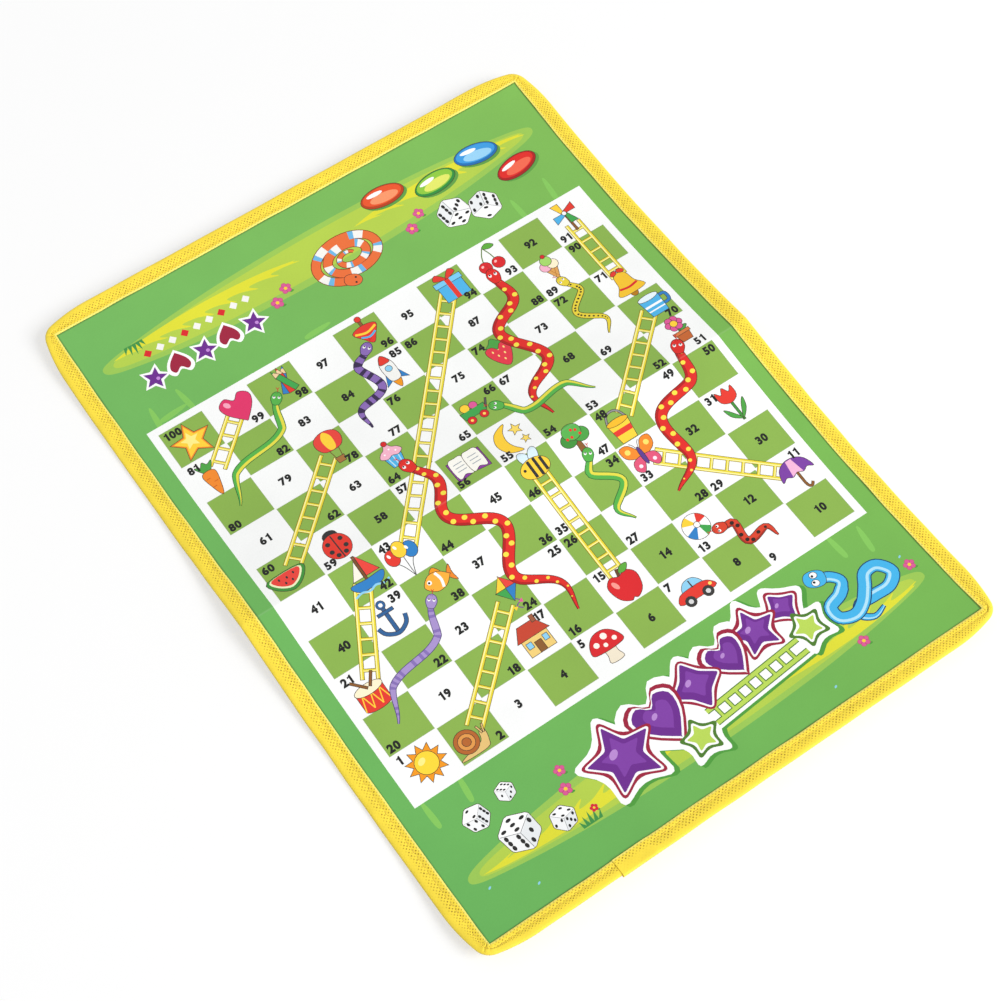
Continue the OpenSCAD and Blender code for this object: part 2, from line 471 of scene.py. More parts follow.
def strip(path, widths):
    """The points and the pieces of a band of ink along a path, of the given widths."""
    outline = []
    for i, here in enumerate(path):
        before, after = Vector(path[max(i - 1, 0)]), Vector(path[min(i + 1, len(path) - 1)])
        way = (after - before).normalized()
        half = (widths[i] if hasattr(widths, "__len__") else widths) / 2
        outline += [(here[0] + way.y * half, here[1] - way.x * half),
                    (here[0] - way.y * half, here[1] + way.x * half)]
    return outline, links(len(path) - 1)


def pairs(numbers):
    """A row of numbers as points."""
    return list(zip(numbers[::2], numbers[1::2]))


class Pen:
    """Draws round one place on the sheet, at one size and turn. Its shapes have a fine
    dark line round them, and those of the same pen when bare have none."""

    def __init__(self, x, s, size=1.0, turned=0.0, lined=True):
        self.x, self.s, self.size, self.turned, self.lined = x, s, size, turned, lined
        self.c = size * math.cos(math.radians(turned))
        self.k = size * math.sin(math.radians(turned))

    @property
    def bare(self):
        return Pen(self.x, self.s, self.size, self.turned, lined=False)

    def placed(self, outline):
        """An outline's points on the sheet, from those round the pen's own place."""
        return [(self.x + self.c * x - self.k * y, self.s + self.k * x + self.c * y)
                for x, y in outline]

    def shape(self, colour, outline):
        outline = turned_left(self.placed(outline))
        if self.lined:
            lay(LINE, grown(outline, LINE_W))
        lay(colour, outline)

    def flat(self, colour, *numbers):
        """A shape with straight sides from point to point."""
        self.shape(colour, pairs(numbers))

    def soft(self, colour, *numbers):
        """A shape with a smooth outline through its points."""
        self.shape(colour, rounded(pairs(numbers), 4))

    def upright(self, colour, half_0, y0, half_1, y1):
        """A shape that stands even round its middle, from one half width to another."""
        self.flat(colour, -half_0, y0, half_0, y0, half_1, y1, -half_1, y1)

    def oval(self, colour, x, y, rx, ry=None, turned=0):
        self.shape(colour, ring(x, y, rx, rx if ry is None else ry, turned))

    def bar(self, colour, x0, y0, x1, y1, width):
        """A straight bar from one place to another."""
        way = Vector((x1 - x0, y1 - y0)).normalized() * width / 2
        self.shape(colour, [(x0 + way.y, y0 - way.x), (x1 + way.y, y1 - way.x),
                            (x1 - way.y, y1 + way.x), (x0 - way.y, y0 + way.x)])

    def curve(self, colour, width, *numbers):
        """A band along a smooth line through its points."""
        path = self.placed(rounded(pairs(numbers), 5, closed=False))
        if self.lined:
            lay(LINE, *strip(path, width * self.size + 2 * LINE_W))
        lay(colour, *strip(path, width * self.size))


# The inks that several of the pictures share.
WHITE, CREAM, BLACK, PUPIL, GREY = "#FFFFFF", "#FFF3D0", "#2A2A2A", "#222222", "#555555"
RED, DEEP_RED, CORAL, PINK, ROSE = "#E23A2E", "#D8262B", "#E8453C", "#E05A9A", "#F7B6CC"
ORANGE, AMBER, YELLOW, PALE_YELLOW = "#F08A2C", "#F39A1E", "#FFD23C", "#FFE06A"
GREEN, LEAF_GREEN, DARK_GREEN = "#3FA34D", "#4BA044", "#3F8F3A"
BLUE, LIGHT_BLUE, PALE_BLUE = "#2F7FC4", "#4FB4E8", "#8FD0F0"
BROWN, DARK_BROWN = "#8A5A2B", "#6B4423"


# The pictures in the squares. Each is drawn round its middle and is about 16 mm high.

def sun(p):
    p.flat(AMBER, *star(11, 8.4, 5.4))
    p.oval("#FFD83A", 0, 0, 4.9)
    p.bare.oval("#FFEE8A", -1.4, 1.5, 1.9, 1.3, 30)


def apple(p):
    p.bar(DARK_BROWN, 0, 4.5, 0.9, 8.2, 1.1)
    p.soft(DEEP_RED, 0, 5, 3.8, 6.2, 7, 2.8, 5.6, -3.6, 1.8, -6.6,
           0, -5.8, -1.8, -6.6, -5.6, -3.6, -7, 2.8, -3.8, 6.2)
    p.bare.oval("#F59A90", -3.6, 2.4, 1.1, 2.1, 20)
    p.soft("#5DAA3C", 1, 6.4, 3, 8.8, 6.2, 8.6, 4, 6)


def fruit_tree(p):
    p.upright(BROWN, 1.6, -8, 1.1, -1)
    p.oval(DARK_GREEN, -3.6, 0.6, 4.2, 3.8)
    p.oval(LEAF_GREEN, 3.6, 0.8, 4.2, 3.8)
    p.oval("#58B04E", 0, 4, 5, 4.4)
    for x, y in ((-3.8, 1.4), (3.4, 1.2), (0.4, 5), (-1.2, 1.4), (2.4, 4)):
        p.bare.oval(RED, x, y, 0.8)


def house(p):
    p.upright("#F2D07A", 6, -7, 6, 1)
    p.upright("#C4452F", 7.6, 0.8, 4, 7)
    p.flat(BROWN, -1.4, -7, 1.6, -7, 1.6, -2, -1.4, -2)
    p.flat(PALE_BLUE, -4.9, -3.6, -2.6, -3.6, -2.6, -1, -4.9, -1)
    p.flat(PALE_BLUE, 2.9, -3.6, 5, -3.6, 5, -1, 2.9, -1)
    p.flat("#9C5A3C", 3, 6, 4.8, 6, 4.8, 9, 3, 9)


def boat(p):
    p.bar("#7A4A22", 0, -3, 0, 8.4, 0.9)
    p.flat(CORAL, 0.8, -1.6, 6.8, -1.6, 0.8, 8)
    p.flat("#F6F1E2", -0.8, -1.6, -5.4, -1.6, -0.8, 6)
    p.soft(BLUE, -7.6, -3, 0, -3.2, 7.6, -3, 5.4, -6.6, 0, -7.2, -5.4, -6.6)
    p.bare.curve(PALE_BLUE, 0.9, -8.4, -8, -5, -7.2, -1.6, -8.2, 1.8, -7.2, 5, -8.2, 8.2, -7.4)


def kite(p):
    p.bare.curve("#7A4A8C", 0.5, 0, -3, 1.8, -5, -0.6, -6.6, 1.2, -8.6)
    p.flat(CORAL, 0, 8.4, 4.8, 2.4, 0, 2.4)
    p.flat(YELLOW, 0, 8.4, -4.8, 2.4, 0, 2.4)
    p.flat(GREEN, 0, -4, -4.8, 2.4, 0, 2.4)
    p.flat(BLUE, 0, -4, 4.8, 2.4, 0, 2.4)
    p.bare.flat(PINK, 0.8, -5.4, 3, -4.4, 2.6, -6.4)
    p.bare.flat(YELLOW, -0.4, -7, -2.4, -6.2, -2, -8.2)


def balloons(p):
    for x, y in ((-4, 3), (4, 2.6), (0, 5)):
        p.bare.curve(GREY, 0.35, x, y - 3, x * 0.5, -3, 0, -8.4)
    p.oval(RED, -4.2, 3, 3, 3.7)
    p.oval(BLUE, 4.2, 2.8, 3, 3.7)
    p.oval(YELLOW, 0, 5, 3, 3.7)
    for x, y in ((-5.2, 4.4), (3.2, 4.2), (-1, 6.4)):
        p.bare.oval(WHITE, x, y, 0.6, 1, 20)


def mushroom(p):
    p.soft("#F3E7CF", -2.2, 0, 2.2, 0, 2.4, -4, 3, -7.4, -3, -7.4, -2.4, -4)
    p.soft(DEEP_RED, -7.6, -0.6, -6, 4, -2.4, 6.8, 2.4, 6.8, 6, 4, 7.6, -0.6, 3.6, -1.8, -3.6, -1.8)
    for x, y, r in ((-3.8, 2.4, 1.3), (1, 4.4, 1.5), (4.4, 1.4, 1.1), (-0.4, 0.6, 1)):
        p.bare.oval("#FFF6EC", x, y, r)


def butterfly(p):
    for side in (-1, 1):
        p.soft(ORANGE, 0, 0.6, side * 3, 6.8, side * 7.4, 7, side * 7, 2.4, side * 3, 0)
        p.soft("#E0567A", 0, 0, side * 5, -0.8, side * 6.2, -4.6, side * 3.6, -6.8, side * 1, -3.4)
        p.bare.oval(PALE_YELLOW, side * 4.8, 4.4, 1.3)
        p.bare.oval("#FFE9F2", side * 3.6, -3.8, 0.9)
        p.bare.curve(LINE, 0.3, side * 0.4, 3.6, side * 1.2, 6, side * 2.4, 7.4)
    p.oval("#5A3A8C", 0, 0, 0.9, 4.4)


def fish(p):
    p.soft(ORANGE, 5, 0, 8.2, 4.4, 7.6, 0, 8.2, -4.4)
    p.soft(AMBER, -2, 4.4, 0.6, 7, 3, 3.4)
    p.soft("#FFB13C", -7.6, 0, -3.4, 4.4, 2, 4, 6, 0.4, 6, -0.4, 2, -4, -3.4, -4.4)
    p.bare.curve(WHITE, 1.4, 0.4, 4.2, 1.4, 0, 0.4, -4.2)
    p.bare.oval(WHITE, -4.4, 1.2, 1.2)
    p.bare.oval(PUPIL, -4.6, 1.2, 0.6)


def flower_pot(p):
    p.bar(DARK_GREEN, 0, -2, 0, 3, 0.9)
    p.soft(LEAF_GREEN, 0.2, -1, 3.4, 1.2, 5, 0.6, 3, -1)
    for i in range(6):
        a = math.tau * i / 6
        p.oval(PINK, 2.9 * math.cos(a), 4.4 + 2.9 * math.sin(a), 1.9)
    p.oval(YELLOW, 0, 4.4, 1.9)
    p.upright("#C4652F", 4, -2, 2.8, -8)
    p.upright("#D97B43", 4.6, -3.2, 4.6, -1.4)


def beach_ball(p):
    p.oval(WHITE, 0, 0, 7)
    for i, colour in enumerate((RED, YELLOW, BLUE, GREEN)):
        a0 = math.tau * i / 4 + 0.3
        arc = [n for j in range(6)
               for n in (7 * math.cos(a0 + j * 0.157), 7 * math.sin(a0 + j * 0.157))]
        p.bare.flat(colour, 0.9, 0.7, *arc)
    p.oval(WHITE, 0.8, 0.6, 1.5)


def umbrella(p):
    p.curve(BROWN, 0.9, 0, 7.4, 0, 0, 0, -6.2, 1.4, -7.8, 3, -6.4)
    p.soft("#7A3FA0", -8, -0.4, -6.4, 4.6, -2.4, 7.2, 2.4, 7.2, 6.4, 4.6, 8, -0.4,
           5.4, 0.8, 2.7, -0.4, 0, 0.8, -2.7, -0.4, -5.4, 0.8)
    p.bare.flat("#F2B5D8", -2.7, -0.3, -1.4, 7.2, 1.4, 7.2, 2.7, -0.3, 0, 0.8)


def gold_star(p):
    p.flat(ORANGE, *star(5, 9.6, 4.4))
    p.bare.flat(YELLOW, *star(5, 8.2, 3.7))
    p.bare.flat("#FFEE8A", *star(5, 4.4, 2, -0.6, 0.8))


def rocket(p):
    p.soft(AMBER, -1.8, -5, 1.8, -5, 0, -9.4)
    p.flat(BLUE, -2, -4.8, -5.4, -6.6, -2.6, 0.2)
    p.flat(BLUE, 2, -4.8, 5.4, -6.6, 2.6, 0.2)
    p.soft("#F4F4F0", 0, 8.8, 2.8, 4.4, 3, -1, 2, -5, -2, -5, -3, -1, -2.8, 4.4)
    p.soft(RED, 0, 8.8, 2.4, 5, 0, 4.4, -2.4, 5)
    p.oval(PALE_BLUE, 0, 1.4, 1.5)


def ice_cream(p):
    p.flat("#E0A45A", -3.6, 0, 3.6, 0, 0, -8.6)
    p.bare.bar("#B87A34", -1.8, 0, 0.9, -6.4, 0.35)
    p.bare.bar("#B87A34", 1.8, 0, -0.9, -6.4, 0.35)
    p.oval(ROSE, -2.2, 1.8, 3, 2.8)
    p.oval(CREAM, 2.2, 1.8, 3, 2.8)
    p.oval("#A5D86A", 0, 5, 3, 2.9)
    p.oval(DEEP_RED, 0.2, 8.2, 1.1)


def cherries(p):
    p.bare.curve("#5A7A2C", 0.6, -3.4, -2, -1.6, 3, 1.4, 7.4)
    p.bare.curve("#5A7A2C", 0.6, 3.8, -2.6, 3, 2.6, 1.4, 7.4)
    p.soft("#5DAA3C", 1.4, 7.2, 4.6, 8.8, 7.8, 6.4, 4.8, 5.4)
    for x, y in ((-3.6, -3.8), (4, -4.4)):
        p.oval(DEEP_RED, x, y, 3.4)
        p.bare.oval("#FFC0BC", x - 1.1, y + 1.3, 0.9, 0.7, 30)


def gift(p):
    p.upright(LIGHT_BLUE, 6, -7.4, 6, 1.6)
    p.upright("#79CDF5", 6.8, 1.2, 6.8, 3.8)
    p.bare.upright(RED, 1.2, -7.4, 1.2, 3.8)
    p.soft(RED, 0, 3.8, -3.4, 7.8, -5.4, 5.4)
    p.soft(RED, 0, 3.8, 3.4, 7.8, 5.4, 5.4)


def bell(p):
    p.oval("#B87A12", 0, -6, 1.7)
    p.soft("#F4C430", 0, 7, 3, 5.4, 4, 0, 6.8, -4.6, 0, -5.6, -6.8, -4.6, -4, 0, -3, 5.4)
    p.bare.curve(DEEP_RED, 1.1, -4.6, -1.4, 0, -2.2, 4.6, -1.4)
    p.oval(RED, -1.8, 7.6, 1.7, 1, 20)
    p.oval(RED, 1.8, 7.6, 1.7, 1, -20)


def drum(p):
    p.upright(RED, 6, -6.4, 6, 1.6)
    p.oval(RED, 0, -6.2, 6, 1.8)
    p.bare.upright(RED, 6, -6.2, 6, 1.6)
    for x in (-4, 0, 4):
        p.bare.bar(YELLOW, x - 2, -6.6, x, 0.4, 0.5)
        p.bare.bar(YELLOW, x, 0.4, x + 2, -6.6, 0.5)
    p.oval(CREAM, 0, 1.8, 6.3, 2.3)
    p.bar(BROWN, -5, 7.6, 0, 2.2, 0.9)
    p.bar(BROWN, 5, 7.6, 1.4, 2.4, 0.9)


def car(p):
    p.soft(PALE_BLUE, -4.6, 0.6, -2.6, 4.6, 2.4, 4.8, 4.6, 0.6)
    p.soft(RED, -8, -3.4, -7.4, 0.2, -3.4, 1.2, 4, 1.2, 7.6, -0.4, 8, -3.6)
    p.bare.bar(LINE, 0, 1, 0, 4.6, 0.6)
    for x in (-4.4, 4.4):
        p.oval("#333333", x, -3.8, 2.3)
        p.bare.oval("#D8D8D8", x, -3.8, 1.1)
    p.bare.oval(PALE_YELLOW, 7, -1.4, 0.8)


def cupcake(p):
    p.upright(LIGHT_BLUE, 4.6, -0.6, 3.2, -7.4)
    for x in (-2.4, 0, 2.4):
        p.bare.bar("#BFE4F7", x * 1.2, -0.8, x * 0.85, -7.2, 0.6)
    p.soft(ROSE, -6, 0.4, -4.4, 3, -2.2, 4.2, 0, 7.6, 2.2, 4.2, 4.4, 3, 6, 0.4,
           3, -1.4, 0, -0.4, -3, -1.4)
    p.oval(DEEP_RED, 0, 7.4, 1.4)
    for x, y in ((-3, 1.6), (0.4, 3.4), (3, 1.2)):
        p.bare.oval(WHITE, x, y, 0.5)


def moon(p):
    p.soft(YELLOW, 1, 8, -5, 5.6, -7.4, 0, -5, -5.8, 1, -8, -1.6, -4, -2.6, 0, -1.6, 4.4)
    p.flat(PALE_YELLOW, *star(5, 3, 1.3, 4, 3))
    p.flat(PALE_YELLOW, *star(5, 2.1, 0.9, 5, -3.6))


def ladybird(p):
    p.oval(BLACK, 0, 5, 3.2, 2.6)
    p.oval(RED, 0, -1, 6, 6.4)
    p.bare.bar(BLACK, 0, -7.4, 0, 5, 0.6)
    for x, y in ((-3, 1.8), (3, 1.8), (-3.4, -2.4), (3.4, -2.4), (-1.8, -5.2), (1.8, -5.2)):
        p.bare.oval(BLACK, x, y, 1.1)


def bee(p):
    p.oval("#D9EEF8", -1.6, 4.8, 2.2, 4, 25)
    p.oval("#D9EEF8", 2.4, 4.8, 2.2, 4, -25)
    p.oval(YELLOW, 0, -0.6, 6.8, 4.6)
    for x, half in ((-1.6, 4.2), (1.4, 4.4), (4.2, 3.4)):
        p.bare.bar(BLACK, x, -0.6 - half, x, -0.6 + half, 1.4)
    p.bare.oval(PUPIL, -4.6, 0.4, 0.7)


def spinning_top(p):
    p.bar(BROWN, 0, 2, 0, 8, 1.4)
    p.oval(RED, 0, 8, 1.6)
    p.soft(RED, -6.8, 1.6, 0, 3.6, 6.8, 1.6, 3.4, -4, 0, -8, -3.4, -4)
    p.bare.curve(YELLOW, 1.3, -6, 0.6, 0, -1.2, 6, 0.6)
    p.bare.curve(LIGHT_BLUE, 1.1, -4.2, -2.4, 0, -4, 4.2, -2.4)


def pencils(p):
    for lean, colour in ((-24, BLUE), (0, RED), (24, GREEN)):
        q = Pen(p.x, p.s, p.size, lean)
        q.upright(colour, 1.5, -8, 1.5, 4)
        q.flat("#F0D2A0", -1.5, 4, 1.5, 4, 0, 8)
        q.bare.flat(colour, -0.5, 6.7, 0.5, 6.7, 0, 8)


def book(p):
    p.flat("#8C3FA0", -8, -5.6, 0, -4.6, 8, -5.6, 8, 5, -8, 5)
    p.soft("#FFFDF4", -7, -4.4, -3.5, -3.4, 0, -4.4, 0, 5, -3.5, 6, -7, 5)
    p.soft("#FFFDF4", 7, -4.4, 3.5, -3.4, 0, -4.4, 0, 5, 3.5, 6, 7, 5)
    for y in (3, 1, -1):
        p.bare.bar("#9AA4AE", -5.8, y, -1.4, y, 0.4)
        p.bare.bar("#9AA4AE", 5.8, y, 1.4, y, 0.4)


def anchor(p):
    p.oval("#2F5F94", 0, 6.6, 1.9)
    p.bare.oval(WHITE, 0, 6.6, 0.9)
    p.bar("#2F5F94", 0, 4.8, 0, -6.6, 1.5)
    p.bar("#2F5F94", -3.6, 3, 3.6, 3, 1.3)
    p.curve("#2F5F94", 1.5, -6.4, -1.6, -4.8, -5.2, 0, -7.4, 4.8, -5.2, 6.4, -1.6)


def heart(p):
    p.soft("#E0356A", 0, 4.2, 3.4, 7, 7.2, 4.4, 6, -0.6, 0.4, -7,
           -0.4, -7, -6, -0.6, -7.2, 4.4, -3.4, 7)
    p.bare.oval("#F9A8C0", -3.8, 3.8, 1.2, 1.8, 30)


def air_balloon(p):
    p.bare.bar(DARK_BROWN, -2.2, -1, -1.4, -6, 0.35)
    p.bare.bar(DARK_BROWN, 2.2, -1, 1.4, -6, 0.35)
    p.soft(CORAL, 0, 9, 5, 7.2, 6, 3, 3.4, -0.8, -3.4, -0.8, -6, 3, -5, 7.2)
    p.bare.soft(YELLOW, 0, 8.8, 2.2, 6, 2.2, 2, 1.2, -0.8, -1.2, -0.8, -2.2, 2, -2.2, 6)
    p.upright("#A5703A", 2, -5.6, 1.6, -8.4)


def snail(p):
    p.soft("#E8C37A", -7.6, -6.4, 4, -6.6, 6.4, -4, 7.2, 0.4, 5, 0.8, 3.4, -3, -3, -4.6)
    p.bar("#E8C37A", 5.8, 0, 5, 3.4, 0.5)
    p.bar("#E8C37A", 6.6, 0, 7.6, 3.2, 0.5)
    p.oval("#B5652C", -1.6, 0, 5.2)
    p.oval("#E39A4C", -1.6, 0, 3.5)
    p.oval("#B5652C", -1.6, 0, 1.8)


def carrot(p):
    p.soft(LEAF_GREEN, -0.6, 3, -4, 8.4, -1.6, 7.6, 0, 9.4, 1.6, 7.6, 4, 8.4, 0.6, 3)
    p.soft(ORANGE, -3, 3.4, 0, 4.6, 3, 3.4, 2.4, -1.6, 0, -8.6, -2.4, -1.6)
    for y, x in ((1, -1.4), (-1.4, 1), (-3.6, -0.8)):
        p.bare.bar("#C9611A", x - 1, y, x + 0.8, y, 0.4)


def windmill(p):
    p.bar(BROWN, 0, 2, 0, -8.6, 1)
    for i, colour in enumerate((RED, YELLOW, LIGHT_BLUE, GREEN)):
        q = Pen(p.x, p.s + 2 * p.size, p.size, 90 * i)
        q.flat(colour, 0, 0, 5.8, 0, 5.8, 3.6, 0, 3.6 * 0.3)
    p.oval(WHITE, 0, 2, 1)


def bucket(p):
    p.curve("#8F8F8F", 0.7, -4.8, 2.4, -3, 6.6, 0, 7.8, 3, 6.6, 4.8, 2.4)
    p.upright(YELLOW, 5, 2.4, 3.6, -7.4)
    p.bare.upright(RED, 4.5, -1, 4.1, -3.6)
    p.oval("#F0B92A", 0, 2.4, 5.2, 1.5)


def melon(p):
    p.soft(DARK_GREEN, -8, 3, 8, 3, 6.4, -2.6, 0, -6.2, -6.4, -2.6)
    p.bare.soft("#F4F6C8", -6.8, 2.8, 6.8, 2.8, 5.4, -1.8, 0, -4.8, -5.4, -1.8)
    p.bare.soft(CORAL, -6, 2.8, 6, 2.8, 4.8, -1.2, 0, -3.8, -4.8, -1.2)
    for x, y in ((-3.4, 1.2), (0, 0.6), (3.4, 1.2), (-1.6, -1.6), (1.6, -1.6)):
        p.bare.oval(BLACK, x, y, 0.45, 0.7)


def strawberry(p):
    p.soft("#E23A4A", -5.4, 3.6, 0, 4.6, 5.4, 3.6, 4.6, -2, 0, -7.8, -4.6, -2)
    for x, y in ((-2.8, 1.6), (0, 2), (2.8, 1.6), (-1.6, -1.2), (1.6, -1.2), (0, -4)):
        p.bare.oval("#FFE28A", x, y, 0.4, 0.65)
    p.flat(LEAF_GREEN, -4.4, 4.8, -1.8, 4.2, 0, 2, 1.8, 4.2, 4.4, 4.8,
           2.2, 6, 0.6, 8, -0.6, 8, -2.2, 6)


def cup(p):
    p.curve(BLUE, 1.3, 4.4, 2, 7.6, 1.6, 7.4, -2.4, 3.8, -3)
    p.upright(LIGHT_BLUE, 5, 3.6, 4, -6.6)
    p.oval("#E8F6FD", 0, 3.6, 5, 1.5)
    p.bare.bar(WHITE, -4.4, -1.2, 4.4, -1.2, 1.2)
    p.bare.bar(WHITE, -4.2, -3.8, 4.2, -3.8, 0.7)


def tulip(p):
    p.bar(DARK_GREEN, 0, 1, 0, -8.4, 1)
    p.soft(LEAF_GREEN, 0.2, -7.6, 3, -2, 5.4, 0.6, 4, -4)
    p.soft(LEAF_GREEN, -0.2, -7.6, -3, -3, -5.4, -0.6, -4, -5)
    p.soft(RED, 0, 1, 4, 3, 4.2, 8, 2, 5.8, 0, 8.6, -2, 5.8, -4.2, 8, -4, 3)


def toy_wagon(p):
    p.bar(GREY, 6, -2, 9, 3, 0.7)
    p.flat(GREEN, -7, 1.4, 6.6, 1.4, 5.8, -3, -6.2, -3)
    p.oval(YELLOW, -3, 3.4, 2.4)
    p.oval(PINK, 1.6, 3, 2.1)
    p.bare.flat(GREEN, -7, 1.4, 6.6, 1.4, 5.8, -3, -6.2, -3)
    for x in (-3.8, 3.4):
        p.oval(DEEP_RED, x, -4.6, 2.2)
        p.bare.oval(PALE_YELLOW, x, -4.6, 0.8)


PICTURES = {
    1: sun, 2: snail, 5: mushroom, 7: car, 11: umbrella, 13: beach_ball, 15: apple, 17: house,
    21: drum, 24: kite, 31: tulip, 33: butterfly, 38: fish, 42: boat, 43: balloons, 46: bee,
    47: fruit_tree, 48: bucket, 51: flower_pot, 59: ladybird, 60: melon, 56: book, 64: cupcake,
    66: toy_wagon, 70: cup, 71: bell, 74: strawberry, 78: air_balloon, 81: carrot, 85: rocket,
    89: ice_cream, 91: windmill, 93: cherries, 94: gift, 96: spinning_top, 98: pencils,
    99: heart, 100: gold_star, 39: anchor, 55: moon}
# The squares of each ladder's foot and top.
LADDERS = [(11, 33), (48, 70), (2, 24), (21, 42), (43, 94), (15, 46), (60, 78), (71, 91), (81, 99)]
# The squares of each snake's head and tail, its kind, and how often and how far it swings.
SNAKES = [
    (93, 54, "red", 2.0, 9.0), (64, 16, "red", 2.5, 8.5), (51, 28, "red", 1.5, 8.5),
    (96, 77, "purple", 1.5, -6.5), (89, 69, "yellow", 1.5, 6.0), (98, 80, "green", 1.0, 7.5),
    (66, 53, "green", 1.0, -6.0), (47, 27, "green", 1.5, -6.5), (38, 20, "lilac", 1.0, 7.0),
    (13, 9, "spotted", 1.5, 5.0)]


def square_middle(number):
    """Where a square's middle is. The numbers run to and fro, row by row."""
    row, column = divmod(number - 1, 10)
    if row % 2:
        column = 9 - column
    return Vector((-GRID_W / 2 + SQUARE_W * (column + 0.5), -GRID_L / 2 + SQUARE_L * (row + 0.5)))


def draw_panel():
    """The white panel and the green squares, each with a fine greyish edge."""
    Pen(0, 0).bare.upright("#FAFBFA", PANEL_W / 2, -PANEL_L / 2, PANEL_W / 2, PANEL_L / 2)
    for number in range(2, 101, 2):
        p = Pen(*square_middle(number)).bare
        for colour, inset in (("#9DAF86", 0.28), ("#8AB14E", 0.5)):
            w, h = SQUARE_W / 2 - inset, SQUARE_L / 2 - inset
            p.upright(colour, w, -h, w, h)


LADDER_W, RAIL_W, RUNG_W, RUNG_PITCH = 7.4, 1.7, 1.3, 7.8
FOOT_GAP, TOP_GAP = 3.0, 2.0       # from a ladder's ends to the middles of their squares
END_ROOM = 4.0                     # length of its rails that stays free of rungs
LADDER_EDGE = 0.28
GLINT_OFF, GLINT_W = 0.18, 0.36    # a bar's pale stripe, as shares of the bar's width
LADDER_CLEAR, SNAKE_CLEAR = 1.2, 0.8
busy = []                # places that a number must keep clear of, each with its reach


def draw_ladder(foot, top):
    """A yellow ladder with a brown edge, from near one square's middle to another's."""
    a, b = square_middle(foot), square_middle(top)
    way = (b - a).normalized()
    a, b = a + way * FOOT_GAP, b - way * TOP_GAP
    side = Vector((-way.y, way.x))
    length = (b - a).length
    rungs = int((length - END_ROOM) // RUNG_PITCH) + 1
    first = (length - (rungs - 1) * RUNG_PITCH) / 2
    bars = []
    for i in range(rungs):
        m = a + way * (first + i * RUNG_PITCH)
        bars.append((m - side * LADDER_W / 2, m + side * LADDER_W / 2, RUNG_W))
    for k in (-1, 1):
        bars.append((a + side * k * LADDER_W / 2, b + side * k * LADDER_W / 2, RAIL_W))
    pen = Pen(0, 0).bare
    for p, q, width in bars:
        d = (q - p).normalized() * LADDER_EDGE
        pen.bar("#6E5A12", p.x - d.x, p.y - d.y, q.x + d.x, q.y + d.y, width + 2 * LADDER_EDGE)
    for p, q, width in bars:
        pen.bar("#EBD83A", p.x, p.y, q.x, q.y, width)
        n = Vector((-(q - p).y, (q - p).x)).normalized() * width * GLINT_OFF
        pen.bar("#FFF6A8", p.x + n.x, p.y + n.y, q.x + n.x, q.y + n.y, width * GLINT_W)
    steps = max(2, int(length / 3))
    busy.extend((a.lerp(b, i / steps), LADDER_W / 2 + LADDER_CLEAR) for i in range(steps + 1))


# Each kind of snake: its width, its colours, and what else is drawn on it. A stripe has
# its distance from the middle and its width, as shares of the body's width. Bands have
# their pitch and the share of it that is dark. Spots have their pitch, their radius and
# how far they lie to one side and the other.
SNAKE_LOOKS = {
    "red": {"width": 5.6, "body": "#DE2B26", "edge": "#5A1412",
            "stripe": (-0.38, 0.22, "#B01C1C"), "spots": (5.4, 1.45, 0.22, "#F6E24A")},
    "purple": {"width": 4.0, "body": "#8A6AB4", "edge": "#2A1B3C",
               "bands": (5.2, 0.42, "#33244A")},
    "yellow": {"width": 2.9, "body": "#E8D23C", "edge": "#2C2410",
               "spots": (2.0, 0.62, 0.0, "#2C2410")},
    "green": {"width": 3.6, "body": "#56B04A", "edge": "#1F5A2C",
              "stripe": (0.27, 0.42, "#E6DC4A")},
    "lilac": {"width": 3.2, "body": "#A892CC", "edge": "#4A3A70",
              "bands": (2.6, 0.22, "#8670B4")},
    "spotted": {"width": 3.8, "body": "#D8432C", "edge": "#3A1410",
                "stripe": (-0.38, 0.22, "#A92E1E"), "spots": (4.0, 1.15, 0.1, "#2A1410")}}
SNAKE_EDGE = 0.35
NECK_GAP = 6.0           # from a snake's neck to the middle of its head's square
SNAKE_STEP = 1.3         # length of the straight parts that its body is drawn in
SMALLEST_SPOT = 0.3
HEAD_REACH = 5.0


def across(path, i):
    """The direction across a path, to its left."""
    way = (Vector(path[min(i + 1, len(path) - 1)]) - Vector(path[max(i - 1, 0)])).normalized()
    return Vector((-way.y, way.x))


def side_line(path, widths, share):
    """A line along a path, to its left by a share of the widths."""
    return [tuple(Vector(here) + across(path, i) * widths[i] * share)
            for i, here in enumerate(path)]


def draw_snake_body(path, look):
    """A snake's body along a path, from its slimmer neck to its thin tail."""
    last = len(path) - 1
    widths = []
    for i in range(last + 1):
        t = i / last
        widths.append(look["width"] * min(1.0, 0.62 + 2.2 * t) * min(1.0, (1.02 - t) * 3.0) ** 0.8)
    lay(look["edge"], *strip(path, [w + 2 * SNAKE_EDGE for w in widths]))
    lay(look["body"], *strip(path, widths))
    if "stripe" in look:
        off, share, colour = look["stripe"]
        lay(colour, *strip(side_line(path, widths, off), [w * share for w in widths]))
    run, marks = 0.0, []
    for here, after in zip(path, path[1:]):
        run += (Vector(after) - Vector(here)).length
        marks.append(run)
    if "bands" in look:
        pitch, share, colour = look["bands"]
        outline, pieces = strip(path, widths)
        lay(colour, outline, [p for mark, p in zip(marks, pieces) if mark % pitch / pitch < share])
    if "spots" in look:
        pitch, radius, off, colour = look["spots"]
        for j in range(1, int(run / pitch)):
            i = bisect.bisect(marks, j * pitch)
            w = widths[min(i + 1, last)]
            m = Vector(path[i]) + across(path, i) * w * off * (1 if j % 2 else -1)
            r = radius * w / look["width"]
            if r > SMALLEST_SPOT:
                lay(colour, ring(m.x, m.y, r, r * 0.9, 0, 12))


